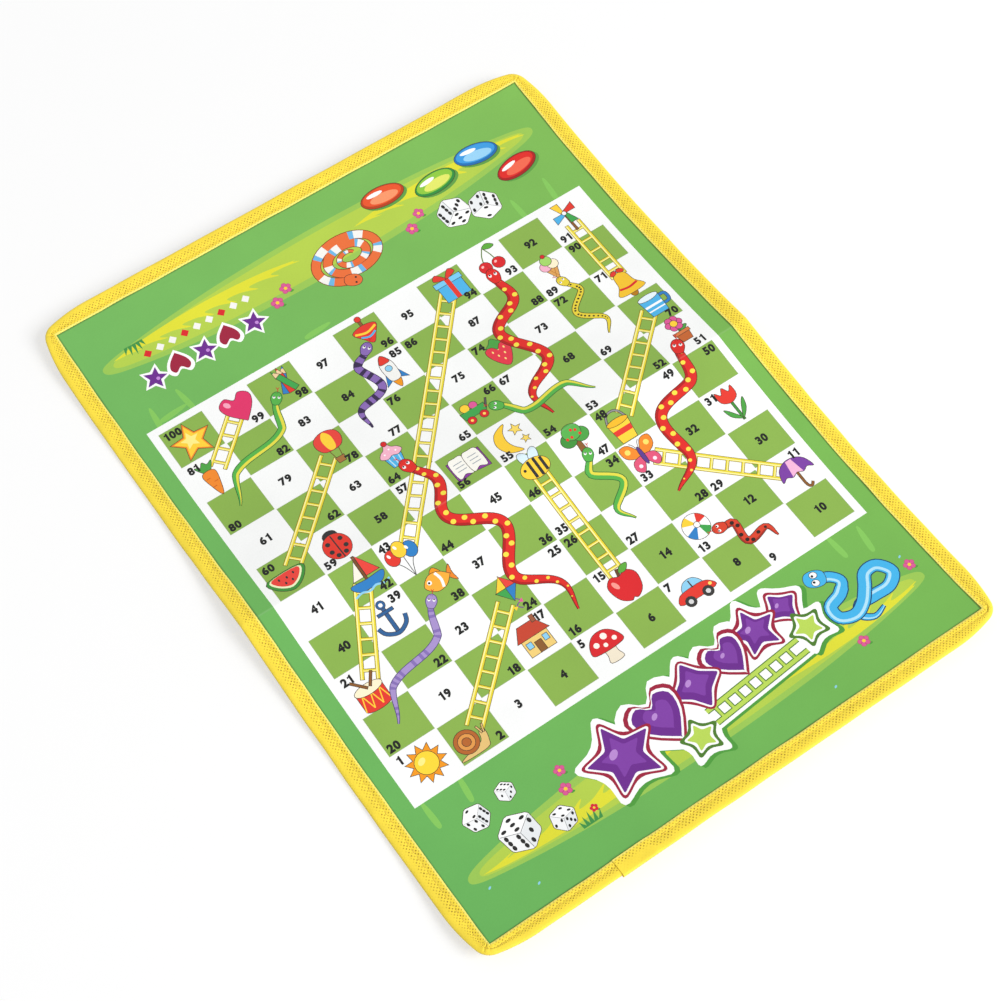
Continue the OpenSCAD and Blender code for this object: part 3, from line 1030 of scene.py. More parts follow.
def draw_snake_head(x, s, size, turned, look):
    """A plain snake's head from above, its mouth to the left: two eyes, a forked tongue."""
    p = Pen(x, s, size, turned).bare
    p.curve("#C2202A", 0.45, -4, 0, -5.6, 0.3, -6.6, 0)
    p.bar("#C2202A", -6.4, 0, -7.6, 0.9, 0.4)
    p.bar("#C2202A", -6.4, 0, -7.6, -0.9, 0.4)
    head = rounded([(-4.4, 0), (-3.4, 2.1), (-0.6, 3.2), (2.2, 2.6), (4, 1.5), (4, -1.5),
                    (2.2, -2.6), (-0.6, -3.2), (-3.4, -2.1)], 4)
    outline = turned_left(p.placed(head))
    lay(look["edge"], grown(outline, SNAKE_EDGE))
    lay(look["body"], outline)
    for y in (1.5, -1.5):
        p.oval(WHITE, -0.9, y, 0.95, 0.85)
        p.oval("#1C1C1C", -1.3, y, 0.5)
        p.oval("#4A1010", -3.6, y * 0.35, 0.22)


def draw_snake(head, tail, kind, swings, reach):
    """A snake that swings from the square of its head down to that of its tail."""
    look = SNAKE_LOOKS[kind]
    a, b = square_middle(head), square_middle(tail)
    way = (b - a).normalized()
    a = a + way * NECK_GAP
    side = Vector((-way.y, way.x))
    length = (b - a).length
    count = int(length / SNAKE_STEP)
    path = []
    for i in range(count + 1):
        t = i / count
        # The swing starts from nothing at the neck and dies down towards the tail.
        off = reach * math.sin(math.tau * swings * t) * min(1, 4 * t) * min(1, 2.6 * (1.12 - t))
        path.append(tuple(a + way * length * t + side * off))
    draw_snake_body(path, look)
    neck = Vector(path[3]) - Vector(path[0])
    size = look["width"] / 5.6 * 0.55 + 0.5      # a wide snake has a larger head
    draw_snake_head(path[0][0], path[0][1], size, math.degrees(math.atan2(neck.y, neck.x)), look)
    busy.extend((Vector(p), look["width"] / 2 + SNAKE_CLEAR) for p in path[::3])
    busy.append((Vector(path[0]), HEAD_REACH * size))


# How far a picture moves back from the end of a ladder or a snake's tail, and from a
# snake's head, and how large it is drawn without and with a head beside it.
LADDER_BACK, HEAD_BACK = 4.2, 6.0
PICTURE_SIZE, HEAD_SIZE = 1.16, 1.0
PICTURE_REACH = 8.0


def draw_pictures():
    """Each picture, moved back from the ladder or snake that starts or ends with it."""
    ways = {}
    for a, b in LADDERS + [s[:2] for s in SNAKES]:
        way = (square_middle(b) - square_middle(a)).normalized()
        ways[a], ways[b] = way, -way
    heads = {s[0] for s in SNAKES}
    for number, picture in PICTURES.items():
        m = square_middle(number)
        if number in ways:
            away = ways[number] * (HEAD_BACK if number in heads else LADDER_BACK)
            m = m - Vector((away.x, away.y * 0.75))
        size = HEAD_SIZE if number in heads else PICTURE_SIZE
        if number == 100:
            m.y -= 1
        picture(Pen(m.x, m.y, size))
        busy.append((m, PICTURE_REACH * size))


# The figure one is drawn with a flag, which the built-in figure lacks. The others are
# the built-in ones, moved out a little so that they are bold.
ONE = [(0.17, -0.05), (0.375, -0.05), (0.375, 0.77), (0.25, 0.77), (0.19, 0.68), (0.02, 0.63),
       (0.02, 0.48), (0.17, 0.53)]
digits = {"1": (ONE, [range(len(ONE))])}
for figure in "023456789":
    text = bpy.data.curves.new("figure", "FONT")
    text.body = figure
    text.size = 1.0
    text.offset = 0.056
    text.resolution_u = 3
    holder = put("figure", text)
    shape = holder.evaluated_get(bpy.context.evaluated_depsgraph_get()).to_mesh()
    digits[figure] = ([(v.co.x, v.co.y) for v in shape.vertices],
                      [tuple(p.vertices) for p in shape.polygons])
    bpy.data.objects.remove(holder)
DIGIT_SIZE, DIGIT_STEP, DIGIT_MIDDLE = 5.75, 3.25, 0.36
NUMBER_ROOM = 2.6        # what a number needs free round it to stand in its square's middle
SIDE_MARGIN, ROW_MARGIN = 1.5, 3.7           # of one that stands in a corner instead


def draw_number(number, x, s):
    """The square's number in plain black figures, round a place."""
    figures = str(number)
    left = x - DIGIT_STEP * len(figures) / 2
    for figure in figures:
        points, triangles = digits[figure]
        middle = (max(p[0] for p in points) + min(p[0] for p in points)) / 2
        placed = [(left + DIGIT_STEP / 2 + (px - middle) * DIGIT_SIZE,
                   s + (py - DIGIT_MIDDLE) * DIGIT_SIZE) for px, py in points]
        lay("#101110", placed, triangles)
        left += DIGIT_STEP


def draw_numbers():
    """Each number in its square's middle, or in the emptiest corner if that is taken."""
    for number in range(1, 101):
        m = square_middle(number)
        half = DIGIT_STEP * len(str(number)) / 2

        def room(p):
            ends = [(p.x + k * half, p.y) for k in (-1, 0, 1)]
            return min((Vector(q) - b).length - r for q in ends for b, r in busy)

        if room(m) > NUMBER_ROOM:
            draw_number(number, m.x, m.y)
            continue
        dx, dy = SQUARE_W / 2 - SIDE_MARGIN - half, SQUARE_L / 2 - ROW_MARGIN
        corners = [Vector((m.x + i * dx, m.y + j * dy)) for j in (1, -1) for i in (-1, 1)]
        best = max(corners, key=room)
        draw_number(number, best.x, best.y)


# The borders. What lies beyond row one faces the near end, and what lies beyond
# row ten faces the far end, so it is drawn turned round.

PURPLE, WINE, LIME, MOSS = "#6B2A8C", "#9C1F3C", "#BBD95A", "#4C7A2A"


def leaf(colour, x0, s0, x1, s1, rise, fall):
    """A long leaf with blunt tips from one place to another, swelling to each side."""
    a, b = Vector((x0, s0)), Vector((x1, s1))
    way = b - a
    side = Vector((-way.y, way.x)).normalized()
    shares = [0.0, 0.012, 0.06, 0.16, 0.3, 0.5, 0.7, 0.84, 0.94, 0.988, 1.0]
    swell = [0.0, 0.22, 0.42, 0.68, 0.9, 1.0, 0.9, 0.68, 0.42, 0.22, 0.0]
    top = [a + way * t + side * rise * h for t, h in zip(shares, swell)]
    low = [a + way * t - side * fall * h for t, h in zip(shares, swell)]
    lay(colour, turned_left(rounded([tuple(v) for v in top + low[-2:0:-1]], 5)))


def flames(colour, x0, x1, s, way):
    """A row of small flames from one place to another, which thins out at both ends."""
    count = 8
    step = (x1 - x0) / count
    top = []
    for i in range(count):
        swell = math.sin(math.pi * (i + 0.5) / count) ** 0.6
        x = x0 + step * i
        top += [(x + step * t, h * swell)
                for t, h in ((0.1, 0.6), (0.6, 1.6), (1.2, 4.6), (0.95, 1.2))]
    low = [(x1 - (x1 - x0) * t, -4.6 * math.sin(math.pi * t) ** 0.7)
           for t in (0.15, 0.35, 0.55, 0.75, 0.9)]
    outline = [(x, s + way * h) for x, h in [(x0, 0)] + top + [(x1, 0)] + low]
    lay(colour, turned_left(rounded(outline, 4)))


def draw_leaves():
    """Faint lime strokes beside the panel, and two long leaves across each border, one
    inside the other, with yellow flames in them."""
    for x, s, turned in ((-124, 123, 86), (-106, 125, 98), (-115, 122, 5), (97, 124, 92),
                         (118, 126, 84), (-128, -126, 92), (-108, -124, 84), (108, -125, 94),
                         (122, -130, 82), (-30, 122, 3)):
        Pen(x, s, 1, turned).bare.soft(
            "#84C55C", -7, -1.2, 0, -1.6, 7, -0.8, 7.4, 0.6, 0, 1.4, -7, 1)
    for middle, way in ((161.0, -1), (-161.0, 1)):
        for colour, reach, rise, fall in (("#9AC655", 132, 15.5, 13.0),
                                          ("#B4CF4C", 126, 11.5, 10.0)):
            leaf(colour, -reach * way, middle - 1.5 * way, reach * way, middle, rise, fall)
        for start, end in ((-124, -18), (20, 124)):
            flames("#E0DE36", start, end, middle - 2.5 * way, way)


def flower(x, s, size, petal="#DB5C96"):
    p = Pen(x, s, size).bare
    p.soft("#4E9A3C", 0.6, -1, 3.4, -3.2, 1.2, -3.6)
    for i in range(5):
        a = math.tau * i / 5 + 0.3
        p.oval("#B23A74", 2 * math.cos(a), 2 * math.sin(a), 1.55)
        p.oval(petal, 2 * math.cos(a), 2 * math.sin(a), 1.3)
    p.oval("#F6D23C", 0, 0, 1.0)


def grass(x, s, size, turned=0):
    p = Pen(x, s, size, turned).bare
    for x0, x1, y1 in ((-5, -6.6, 3.4), (-3, -3.6, 5.2), (-0.8, 0, 6.4), (1.6, 3.2, 5.4),
                       (4, 6.4, 3.6)):
        p.flat("#3F8F46", x0 - 1.3, -1, x0 + 1.3, -1, x1, y1)


# A die's pips by their count, as steps along a side's two directions, and its top and two
# lower sides: each one's middle, those two directions, and its pips' two radii.
TWO, TURNED_TWO = [(-1, -1), (1, 1)], [(-1, 1), (1, -1)]
PIPS = {1: [(0, 0)], 2: TWO, 3: [(-1, -1), (0, 0), (1, 1)], 4: TWO + TURNED_TWO,
        5: TWO + TURNED_TWO + [(0, 0)], 6: TWO + TURNED_TWO + [(-1, 0), (1, 0)]}
DIE_SIDES = [((0, 4.2), (2.4, 1.3), (-2.4, 1.3), (1.3, 0.75)),
             ((-3.9, -2.5), (2.2, -1.25), (0, 2.5), (0.85, 1.25)),
             ((4.1, -2.5), (2.2, 1.25), (0, 2.5), (0.85, 1.25))]


def die(x, s, size, turned, counts):
    """A white playing die seen over one corner, with its pips."""
    p = Pen(x, s, size, turned)
    p.flat(WHITE, -8, 3.6, -7.2, 4.8, -0.8, 8.6, 0.8, 8.6, 7.4, 4.8, 8.1, 3.6, 7.7, -4.0,
           7, -5.2, 0.8, -8.9, -0.8, -8.9, -7, -5.2, -7.7, -4.0)
    p = p.bare
    p.flat("#F6F7F8", -7.9, 3.4, -7.5, -4, -6.9, -5.1, -0.8, -8.7, 0, -8.8, 0, -0.6, -0.8, -0.5)
    p.flat("#EBEEF0", 8, 3.4, 7.6, -4, 6.9, -5.1, 0.8, -8.7, 0, -8.8, 0, -0.6, 0.8, -0.5)
    for ex, ey in ((-7.6, 3.6), (7.7, 3.6), (0, -8.6)):
        p.bar("#8B8F92", 0, -0.5, ex, ey, 0.3)
    for count, (middle, u, v, radii) in zip(counts, DIE_SIDES):
        for i, j in PIPS[count]:
            p.oval("#1C1C1C", middle[0] + i * u[0] + j * v[0],
                   middle[1] + i * u[1] + j * v[1], *radii)


def counter(x, s, turned, dark, body, light):
    """A glossy round counter lying flat, as a row of ovals from dark to light."""
    p = Pen(x, s, 1, turned)
    p.bare.oval("#5E9C46", 1.0, -1.6, 12.6, 6.0)
    p.oval(dark, 0, 0, 12.4, 5.9)
    p.bare.oval(body, 0, 0.5, 11.2, 4.9)
    p.bare.oval(light, 0.6, -0.9, 8.2, 2.8)
    p.bare.oval(WHITE, -3.4, 2.7, 4.8, 1.2, 3)


def draw_motif_row():
    """Small stars and hearts in a row, with a row of little squares over them."""
    for i in range(5):
        p = Pen(-112 + 14.5 * i, 144 + (i % 2) * 1.6, 1, 180 + (-1) ** i * 8).bare
        if i % 2:
            p.soft(WHITE, 0, 4.4, 4, 7.2, 7.2, 4, 5.6, -1.4, 0.4, -7,
                   -0.4, -7, -5.6, -1.4, -7.2, 4, -4, 7.2)
            p.soft(WINE, 0, 3, 3.2, 5.4, 5.4, 3, 4.2, -1, 0.4, -5.2,
                   -0.4, -5.2, -4.2, -1, -5.4, 3, -3.2, 5.4)
        else:
            p.flat(WHITE, *star(5, 8.4, 4.4))
            p.flat(PURPLE, *star(5, 6.4, 2.9))
            p.oval("#C58BDA", -1, 1, 1.0)
    for i in range(9):
        p = Pen(-108 + 7.2 * i, 158, 1, 45).bare
        p.upright("#F6F4F0" if i % 3 else DEEP_RED, 1.7, -1.7, 1.7, 1.7)


def draw_coiled_snake():
    """An orange snake in a flat coil, with white and blue bands and its head outside."""
    steps, turns, slimmest, widest, edge = 99, 2.6, 1.2, 4.6, 0.8
    path, widths = [], []
    for i in range(steps + 1):
        t = i / steps
        a = math.tau * turns * t + 0.6
        r = 3.2 + 15.5 * t
        path.append((8 + r * math.cos(a) * 1.12, 150 + r * math.sin(a) * 0.72))
        widths.append(min(widest, slimmest + 9 * i / steps))
    outline, pieces = strip(path, widths)
    lay("#7A2E16", *strip(path, [w + edge for w in widths]))
    lay("#E8703A", outline, pieces)
    lay("#F6F4F0", outline, [q for i, q in enumerate(pieces) if i % 8 in (5, 6)])
    lay("#6FB7E4", outline, [q for i, q in enumerate(pieces) if i % 8 == 7])
    x, s = path[-1]
    p = Pen(x, s, 1.0, math.degrees(math.atan2(path[-4][1] - s, path[-4][0] - x)))
    p.soft("#E8703A", -5.4, 0, -3.8, 2.7, 0, 3.4, 3.4, 2, 3.4, -2, 0, -3.4, -3.8, -2.7)
    for y in (1.5, -1.5):
        p.bare.oval(PUPIL, -2.2, y, 0.6)


def draw_far_border():
    """Beyond row ten: plain motifs, a coiled snake, flowers, grass, dice and counters."""
    draw_motif_row()
    draw_coiled_snake()
    for x, s, size in ((-38, 147, 1.0), (-30, 152, 0.95), (44, 146, 1.0), (52, 152, 0.9)):
        flower(x, s, size)
    grass(-112, 166, 0.9, 180)
    die(68, 142, 1.05, 190, (5, 3, 6))
    die(84, 137, 1.0, 166, (2, 6, 4))
    counter(112, 148, 8, "#A81C1C", "#DE2B26", "#F26A50")
    counter(98, 166, -8, "#1F6FB4", "#3E9CE0", "#9AD4F6")
    counter(70, 163, 4, "#2E8A3C", "#8CC63F", "#E2E86A")
    counter(42, 171, -4, "#B8401A", "#E8552A", "#F7986A")


def bold(shape, x, y, size, turned, more):
    """A motif's outline, grown by an amount, with a star's corners blunted to match."""
    is_star = len(shape) < 12
    nearest = 0.62       # of a heart's edge to its middle; a star's is worked out
    if is_star:
        nearest = min(abs(a[0] * b[1] - b[0] * a[1]) / math.dist(a, b)
                      for a, b in zip(shape, shape[1:] + shape[:1]))
    outline = Pen(x, y, size + more / nearest, turned).placed(shape)
    return blunt(outline, 1.4 + 1.9 * more) if is_star else outline


def draw_plaque():
    """A white plaque of bold stars and hearts with a small ladder, and its green shadow."""
    p = Pen(6, -149, 0.93, 5).bare
    star_5 = pairs(star(5, 1, 0.5))
    star_4 = pairs(star(4, 1, 0.58))
    heart_line = rounded(pairs((0, 4.0, 3.4, 7, 7.2, 4.4, 5.6, -1.4, 0.3, -7.4,
                                -0.3, -7.4, -5.6, -1.4, -7.2, 4.4, -3.4, 7)), 3)
    big_heart = [(x / 7.6, y / 7.6) for x, y in heart_line]
    # Each motif's shape, place, size, turn, colour and edge. The later ones lie on top.
    motifs = [((star_4, 66, 9, 9.5, 10), PURPLE, WINE), ((star_5, 46, 7.5, 13.5, -8), PURPLE, WINE),
              ((big_heart, 26, 6, 10.5, 6), PURPLE, WINE), ((star_4, 3, 5, 14, -6), PURPLE, WINE),
              ((big_heart, -22, 2.5, 13.5, 4), PURPLE, WINE),
              ((star_5, -50, -1, 19.5, -4), PURPLE, WINE),
              ((star_5, 68, -8, 8, 8), LIME, MOSS), ((star_5, -14, -18, 8, -8), LIME, MOSS)]
    plate = [(-8, -21), (62, -21), (66, -14), (62, 4), (-50, 2), (-24, -18)]
    for ink, more, dx, dy in (("#4E9A3C", 5.0, 1.4, -1.6), (WHITE, 4.6, 0, 0)):
        for outline in [bold(*motif, more) for motif, _, _ in motifs] + [plate]:
            p.shape(ink, [(x + dx, y + dy) for x, y in outline])
    rungs = [(x, -17.5, x, -9.5, 1.4) for x in range(2, 57, 7)]
    ladder = rungs + [(-3, y, 59, y, 2.2) for y in (-17.5, -9.5)]
    for *ends, width in ladder:
        p.bar(MOSS, *ends, width + 1.1)
    for *ends, width in ladder:
        p.bar(LIME, *ends, width)
    for motif, colour, edge in motifs:
        for ink, more in ((edge, 2.3), (WHITE, 1.0), (colour, 0)):
            p.shape(ink, bold(*motif, more))
        if colour == PURPLE:
            shape, x, y, size, turned = motif
            p.shape("#7F3FA3", bold(shape, x + 0.6, y + 0.8, size * 0.62, turned, 0))
            p.oval("#B98AD2", x - size * 0.16, y + size * 0.22, size * 0.16, size * 0.1, 30)


def draw_looped_snake():
    """A blue snake in loops. It is laid in short lengths, so that each hides what it
    crosses."""
    path = [(102 + x, -150 + s) for x, s in rounded(
        [(4, -13), (-3, -15), (-8, -11), (-5, -6), (4, -6), (13, -6), (19, -1), (15, 6), (8, 6),
         (3, 0), (-3, -6), (-10, -9), (-17, -6), (-17, 1), (-9, 4), (-4, 9), (-7, 14), (-12, 16)],
        5, closed=False)]
    last = len(path) - 1
    widths = [min(6.0, 1.0 + 0.28 * i) * (1 if i < last - 12 else 0.86) for i in range(last + 1)]
    belly = side_line(path, widths, 0.24)
    layers = (("#123A66", strip(path, [w + 1.1 for w in widths])[0]),
              ("#45B5EA", strip(path, widths)[0]),
              ("#B4E4F8", strip(belly, [w * 0.24 for w in widths])[0]))
    for i in range(0, last, 2):
        n = min(2, last - i)
        for ink, outline in layers:
            lay(ink, outline[2 * i:2 * (i + n + 1)], links(n))
    p = Pen(path[-1][0] - 1, path[-1][1] + 1, 1.25, -20)
    p.soft("#45B5EA", -5, 0, -3.8, 2.7, 0, 3.6, 3.4, 2.2, 3.4, -2.2, 0, -3.6, -3.8, -2.7)
    for y in (1.7, -1.7):
        p.oval(WHITE, -0.6, y, 1.5, 1.3)
        p.bare.oval("#1C1C1C", -1.1, y * 0.8, 0.55)


def draw_near_border():
    """Beyond row one: a plaque of bold motifs, a blue snake, dice, flowers and grass."""
    draw_plaque()
    draw_looped_snake()
    die(-100, -156, 1.12, 8, (5, 6, 3))
    die(-80, -162, 0.72, -16, (4, 2, 5))
    die(-112, -139, 0.76, 20, (2, 4, 6))
    die(-94, -136, 0.56, -8, (6, 1, 3))
    for x, s, size in ((-71, -151, 0.95), (-68, -142, 0.85), (86, -172, 0.9), (130, -153, 0.9)):
        flower(x, s, size)
    grass(-70, -171, 0.9)
    flower(-66, -166, 0.6, DEEP_RED)
    for x, s in ((129, -147), (-107, -181), (-126, -170), (60, -183)):
        Pen(x, s, 1, 30).bare.oval("#8FD0E8", 0, 0, 0.9, 0.5)


PRINT_RADIUS = BOW_RADIUS - FACE_HIGH


def along(y):
    """How far a place lies along the bent print from the crease, from its y in plan."""
    bend = (math.asin((abs(y) - HALF_MIDDLE) / PRINT_RADIUS)
            + math.asin(HALF_MIDDLE / PRINT_RADIUS))
    return math.copysign(PRINT_RADIUS * bend, y)


# The green ground is the whole sheet. A line runs across it at each row, where the
# sheet bends. The rest is laid over it in this order.
row_s = [along(y) for y, _ in rows]
count = len(row_s)
right_side = [(half, s) for s, (_, half) in zip(row_s, rows)]
lay("#73B457", right_side + [(-half, s) for half, s in reversed(right_side)])
row_edges = [(k, 2 * count - 1 - k) for k in range(1, count - 1)]
draw_leaves()
draw_far_border()
draw_near_border()
draw_panel()
for foot, top in LADDERS:
    draw_ladder(foot, top)
draw_pictures()
for snake in SNAKES:
    draw_snake(*snake)
draw_numbers()

SAME_PLACE = 1e-4        # points of ink this close together become one
plan, _, triangles, _, _, _ = delaunay_2d_cdt(
    [Vector(p) for p in inked_points], row_edges, inked_faces, 1, SAME_PLACE, True)


def top_inks():
    """For each triangle of the cut sheet, the number of the last shape laid over it."""
    middles = np.array([tuple(p) for p in plan])[np.array(triangles)].mean(1)
    order = np.argsort(middles[:, 1])
    mx, my = middles[order, 0], middles[order, 1]
    laid = np.array(inked_points)
    top = np.zeros(len(triangles), int)
    for number, piece in enumerate(inked_faces[1:], 1):
        shape = laid[piece]
        low, high = shape.min(0), shape.max(0)
        first, last = np.searchsorted(my, (low[1], high[1]))
        beside = (mx[first:last] > low[0]) & (mx[first:last] < high[0])
        near = np.nonzero(beside)[0] + first
        if not len(near):
            continue
        # A triangle lies in the shape if the shape's outline winds round its middle.
        px, py = mx[near, None], my[near, None]
        (ax, ay), (bx, by) = shape.T, np.roll(shape, -1, 0).T
        left = (bx - ax) * (py - ay) - (px - ax) * (by - ay)
        up, down = (ay <= py) & (by > py), (ay > py) & (by <= py)
        winding = (up & (left > 0)).sum(1) - (down & (left < 0)).sum(1)
        top[order[near[winding != 0]]] = number
    return top


# How much redder, greener and bluer the ground is at the right side and the far end. At the far end
# this is partly a yellower print and partly painted light: the end is painted lighter, as it would
# be where it tilts towards the lamp.
TO_RIGHT, FAR_TINT_AND_LIGHT = (0.022, 0.008, -0.011), (0.016, 0.014, 0.004)


def ground(x, s):
    """The ground's green, which turns yellower to the right and to the far end, and is painted
    lighter towards the far end.
    """
    return [c + (x / HALF_W * right + s / HALF_L * far)
            for c, right, far in zip(inks[0], TO_RIGHT, FAR_TINT_AND_LIGHT)] + [1.0]


row_top = [on_board(0, y, FACE_HIGH) for y, _ in rows]
row_low = [on_board(0, y, FACE_LOW) for y, _ in rows]
points, flat = [], []
for x, s in plan:
    k = min(max(bisect.bisect(row_s, s) - 1, 0), count - 2)
    t = min(max((s - row_s[k]) / (row_s[k + 1] - row_s[k]), 0), 1)
    place = row_top[k].lerp(row_top[k + 1], t)
    points.append((x * MM, place.y, place.z))
    flat.append((x, s, 0))
faces = [tuple(t) for t in triangles]
colours = []
for triangle, number in zip(triangles, top_inks()):
    colours.append([inks[number] if number else ground(*plan[i]) for i in triangle])

# The sheet's underside and its four edges, in the paper's own white.
point_at = {(round(x, 2), round(s, 2)): k for k, (x, s) in enumerate(plan)}
right = [point_at[round(x, 2), round(s, 2)] for x, s in inked_points[:count]]
left = [point_at[round(x, 2), round(s, 2)] for x, s in reversed(inked_points[count:2 * count])]
under = len(points)
for (y, half), low in zip(rows, row_low):
    points += [(-half * MM, low.y, low.z), (half * MM, low.y, low.z)]
    flat += [(-half, y, 0), (half, y, 0)]
for k in range(count - 1):
    l0, r0, l1, r1 = (under + 2 * k + i for i in range(4))
    faces += [(l0, l1, r1, r0), (right[k], r0, r1, right[k + 1]), (left[k + 1], l1, l0, left[k])]
faces += [(left[0], under, under + 1, right[0]),
          (right[-1], under + 2 * count - 1, under + 2 * count - 2, left[-1])]
colours += [[linear("#F4F2EA")] * len(f) for f in faces[len(colours):]]
face = add_piece("printed_face", points, faces, flat)
ink_layer = face.data.color_attributes.new("ink", "FLOAT_COLOR", "CORNER")
ink_layer.data.foreach_set(
    "color", [c for of_face in colours for colour in of_face for c in colour])

# Where the tape's inner edge lies on the sheet, from the middle of the print.
TAPE_EDGE = (141.0, 191.6, 0)

film = bpy.data.materials.new("satin_film_over_offset_print")
# Offset print under a thin satin film: clear even inks, a soft wide gloss that breaks up a little
# where the film follows the paper, and a faint pale line along the crease.
tree = empty_tree(film)
flat_place = add(tree, "ShaderNodeAttribute", attribute_name="flat")
on_print = flat_place.outputs["Vector"]
ink_read = add(tree, "ShaderNodeAttribute", attribute_name="ink")
parts = add(tree, "ShaderNodeSeparateXYZ", {0: on_print})
clouds = add(tree, "ShaderNodeTexNoise", {"Vector": on_print, "Scale": 1 / 45.0, "Detail": 3.0})
grain = add(tree, "ShaderNodeTexNoise", {"Vector": on_print, "Scale": 1 / 0.9, "Detail": 2.0})
cloud_tone = add(tree, "ShaderNodeMapRange", {
    "Value": clouds.outputs["Fac"], "From Min": 0.3, "From Max": 0.7,
    "To Min": 0.965, "To Max": 1.03})
grain_tone = add(tree, "ShaderNodeMapRange", {
    "Value": grain.outputs["Fac"], "From Min": 0.3, "From Max": 0.7,
    "To Min": 0.985, "To Max": 1.012})
tone = add(tree, "ShaderNodeMath", {0: cloud_tone, 1: grain_tone}, operation="MULTIPLY")
toned = add(tree, "ShaderNodeVectorMath", {
    0: ink_read.outputs["Color"], "Scale": tone}, operation="SCALE")
from_crease = add(tree, "ShaderNodeMath", {0: parts.outputs[1]}, operation="ABSOLUTE")
crease_line_share = add(tree, "ShaderNodeMapRange", {
    "Value": from_crease, "From Min": 0.1, "From Max": 0.7,
    "To Min": 0.06, "To Max": 0.0})
crease_paled = add(tree, "ShaderNodeMix", {0: crease_line_share, 6: toned, 7: linear("#F4F6EE")}, data_type="RGBA")
# Painted shade: a fine dark line follows the tape's edge all round, where the tape's raised edge
# shades the print.
from_middle = add(tree, "ShaderNodeVectorMath", {0: on_print}, operation="ABSOLUTE")
from_tape = add(tree, "ShaderNodeVectorMath", {0: from_middle, 1: TAPE_EDGE}, operation="SUBTRACT")
sides = add(tree, "ShaderNodeSeparateXYZ", {0: from_tape})
nearer = add(tree, "ShaderNodeMath", {0: sides, 1: sides.outputs[1]}, operation="MAXIMUM")
painted_edge_shade = add(tree, "ShaderNodeMapRange", {
    "Value": nearer, "From Min": -0.9, "From Max": -0.1,
    "To Min": 1.0, "To Max": 0.5})
print_with_edge_shade = add(tree, "ShaderNodeVectorMath", {
    0: crease_paled.outputs[2], "Scale": painted_edge_shade}, operation="SCALE")
ripple = add(tree, "ShaderNodeTexNoise", {"Vector": on_print, "Scale": 1 / 14.0, "Detail": 2.0})
fine = add(tree, "ShaderNodeTexNoise", {"Vector": on_print, "Scale": 1 / 0.8, "Detail": 4.0})
broad = add(tree, "ShaderNodeBump", {
    "Height": ripple.outputs["Fac"], "Strength": 0.25, "Distance": 0.5 * MM})
bump = add(tree, "ShaderNodeBump", {
    "Height": fine.outputs["Fac"], "Strength": 0.12, "Distance": 0.06 * MM,
    "Normal": broad})
rough = add(tree, "ShaderNodeMapRange", {
    "Value": clouds.outputs["Fac"], "From Min": 0.3, "From Max": 0.7,
    "To Min": 0.36, "To Max": 0.46})
shader = add(tree, "ShaderNodeBsdfPrincipled", {
    "Base Color": print_with_edge_shade, "Roughness": rough, "IOR": 1.49,
    "Specular IOR Level": 0.3, "Normal": bump})
add(tree, "ShaderNodeOutputMaterial", {"Surface": shader})
face.data.materials.append(film)
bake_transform(face)
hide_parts("face_lower", "face_upper")


# Binding tape

# One length of yellow nonwoven tape folded round the board's edge and sewn
# through. It starts on the near edge, goes clockwise round the board, and its cut
# end lies over its start. It is drawn in at the seam and puckers at the corners.

FRONT_BAND, BACK_BAND = 9.0, 10.0
LAP_X, LAP_L = 75.0, 18.0
LAP_RISE, LAP_RAMP = 0.32, 3       # the cut end lies this much higher, after a ramp this long
STITCH_PITCH, FIRST_STITCH = 4.4, 3.3
SEAM_IN = 6.0            # from the board's edge to the seam
EDGE_IN = 2              # from the board's edge to where the tape has turned flat
TAPE_STEP = 1.1
TAPE_LEAN_STEPS, TAPE_ROUND_STEPS = 20, 30
PUFF_FROM = 2.05         # height from which the tape's front puffs up
PRESSED_TO = 2.18        # height that the puffs of the lapped end are pressed towards
TUCK_LOW = 1.96          # height of the bottom of the deepest tuck
DOTS_REACH = 6.5         # how far from the tape's inner edge its dots show
LIT_EDGE_W, LIT_EDGE_MARK = 0.8, 20.0    # width of the cut edge's painted highlight, and its third number
FRONT_RUN = 9.6          # width of the tape, from its cut edge, that lies on the print side

# The tape's section, from its inner edge on the print, out, round the board's edge
# and in on the back, then back along its inner face: distance from the outer edge
# and height over the board's underside.
OUTER = [
    (9.0, 2.12), (8.9, 2.30), (8.4, 2.38), (7.7, 2.40), (7.0, 2.37), (6.6, 2.30), (6.25, 2.21),
    (6.0, 2.18), (5.75, 2.21), (5.4, 2.30), (4.9, 2.37), (4.2, 2.41), (3.4, 2.43), (2.6, 2.42),
    (1.9, 2.38), (1.3, 2.31), (0.8, 2.19), (0.36, 2.03), (0.08, 1.78), (0.0, 1.10), (0.03, 0.52),
    (0.2, 0.22), (0.6, 0.05), (1.3, 0.0), (2.2, 0.0), (4.0, 0.0), (5.4, 0.0), (6.0, 0.04),
    (6.6, 0.0), (8.4, 0.0), (9.86, 0.0), (10.0, 0.08)]
INNER = [
    (10.0, 0.28), (6.0, 0.31), (2.0, 0.31), (0.9, 0.31), (0.31, 0.34), (0.31, 1.84), (0.9, 1.88),
    (2.0, 1.88), (6.0, 1.875), (7.6, 1.875), (9.0, 2.02)]
SECTION = OUTER + INNER
FRONT_POINTS = 20        # how many of the outer face's points lie on the print side
BACK_INNER = 5           # how many of the inner face's points lie on the back
TAPE_T = 0.3             # thickness of the tape
across_run = [0.0]
for (d0, h0), (d1, h1) in zip(OUTER, OUTER[1:]):
    across_run.append(across_run[-1] + math.hypot(d1 - d0, h1 - h0))
inner_run = [across_run[-1] - TAPE_T]
for (d0, h0), (d1, h1) in zip(INNER, INNER[1:]):
    inner_run.append(max(0.0, inner_run[-1] - math.hypot(d1 - d0, h1 - h0)))
across_run += inner_run


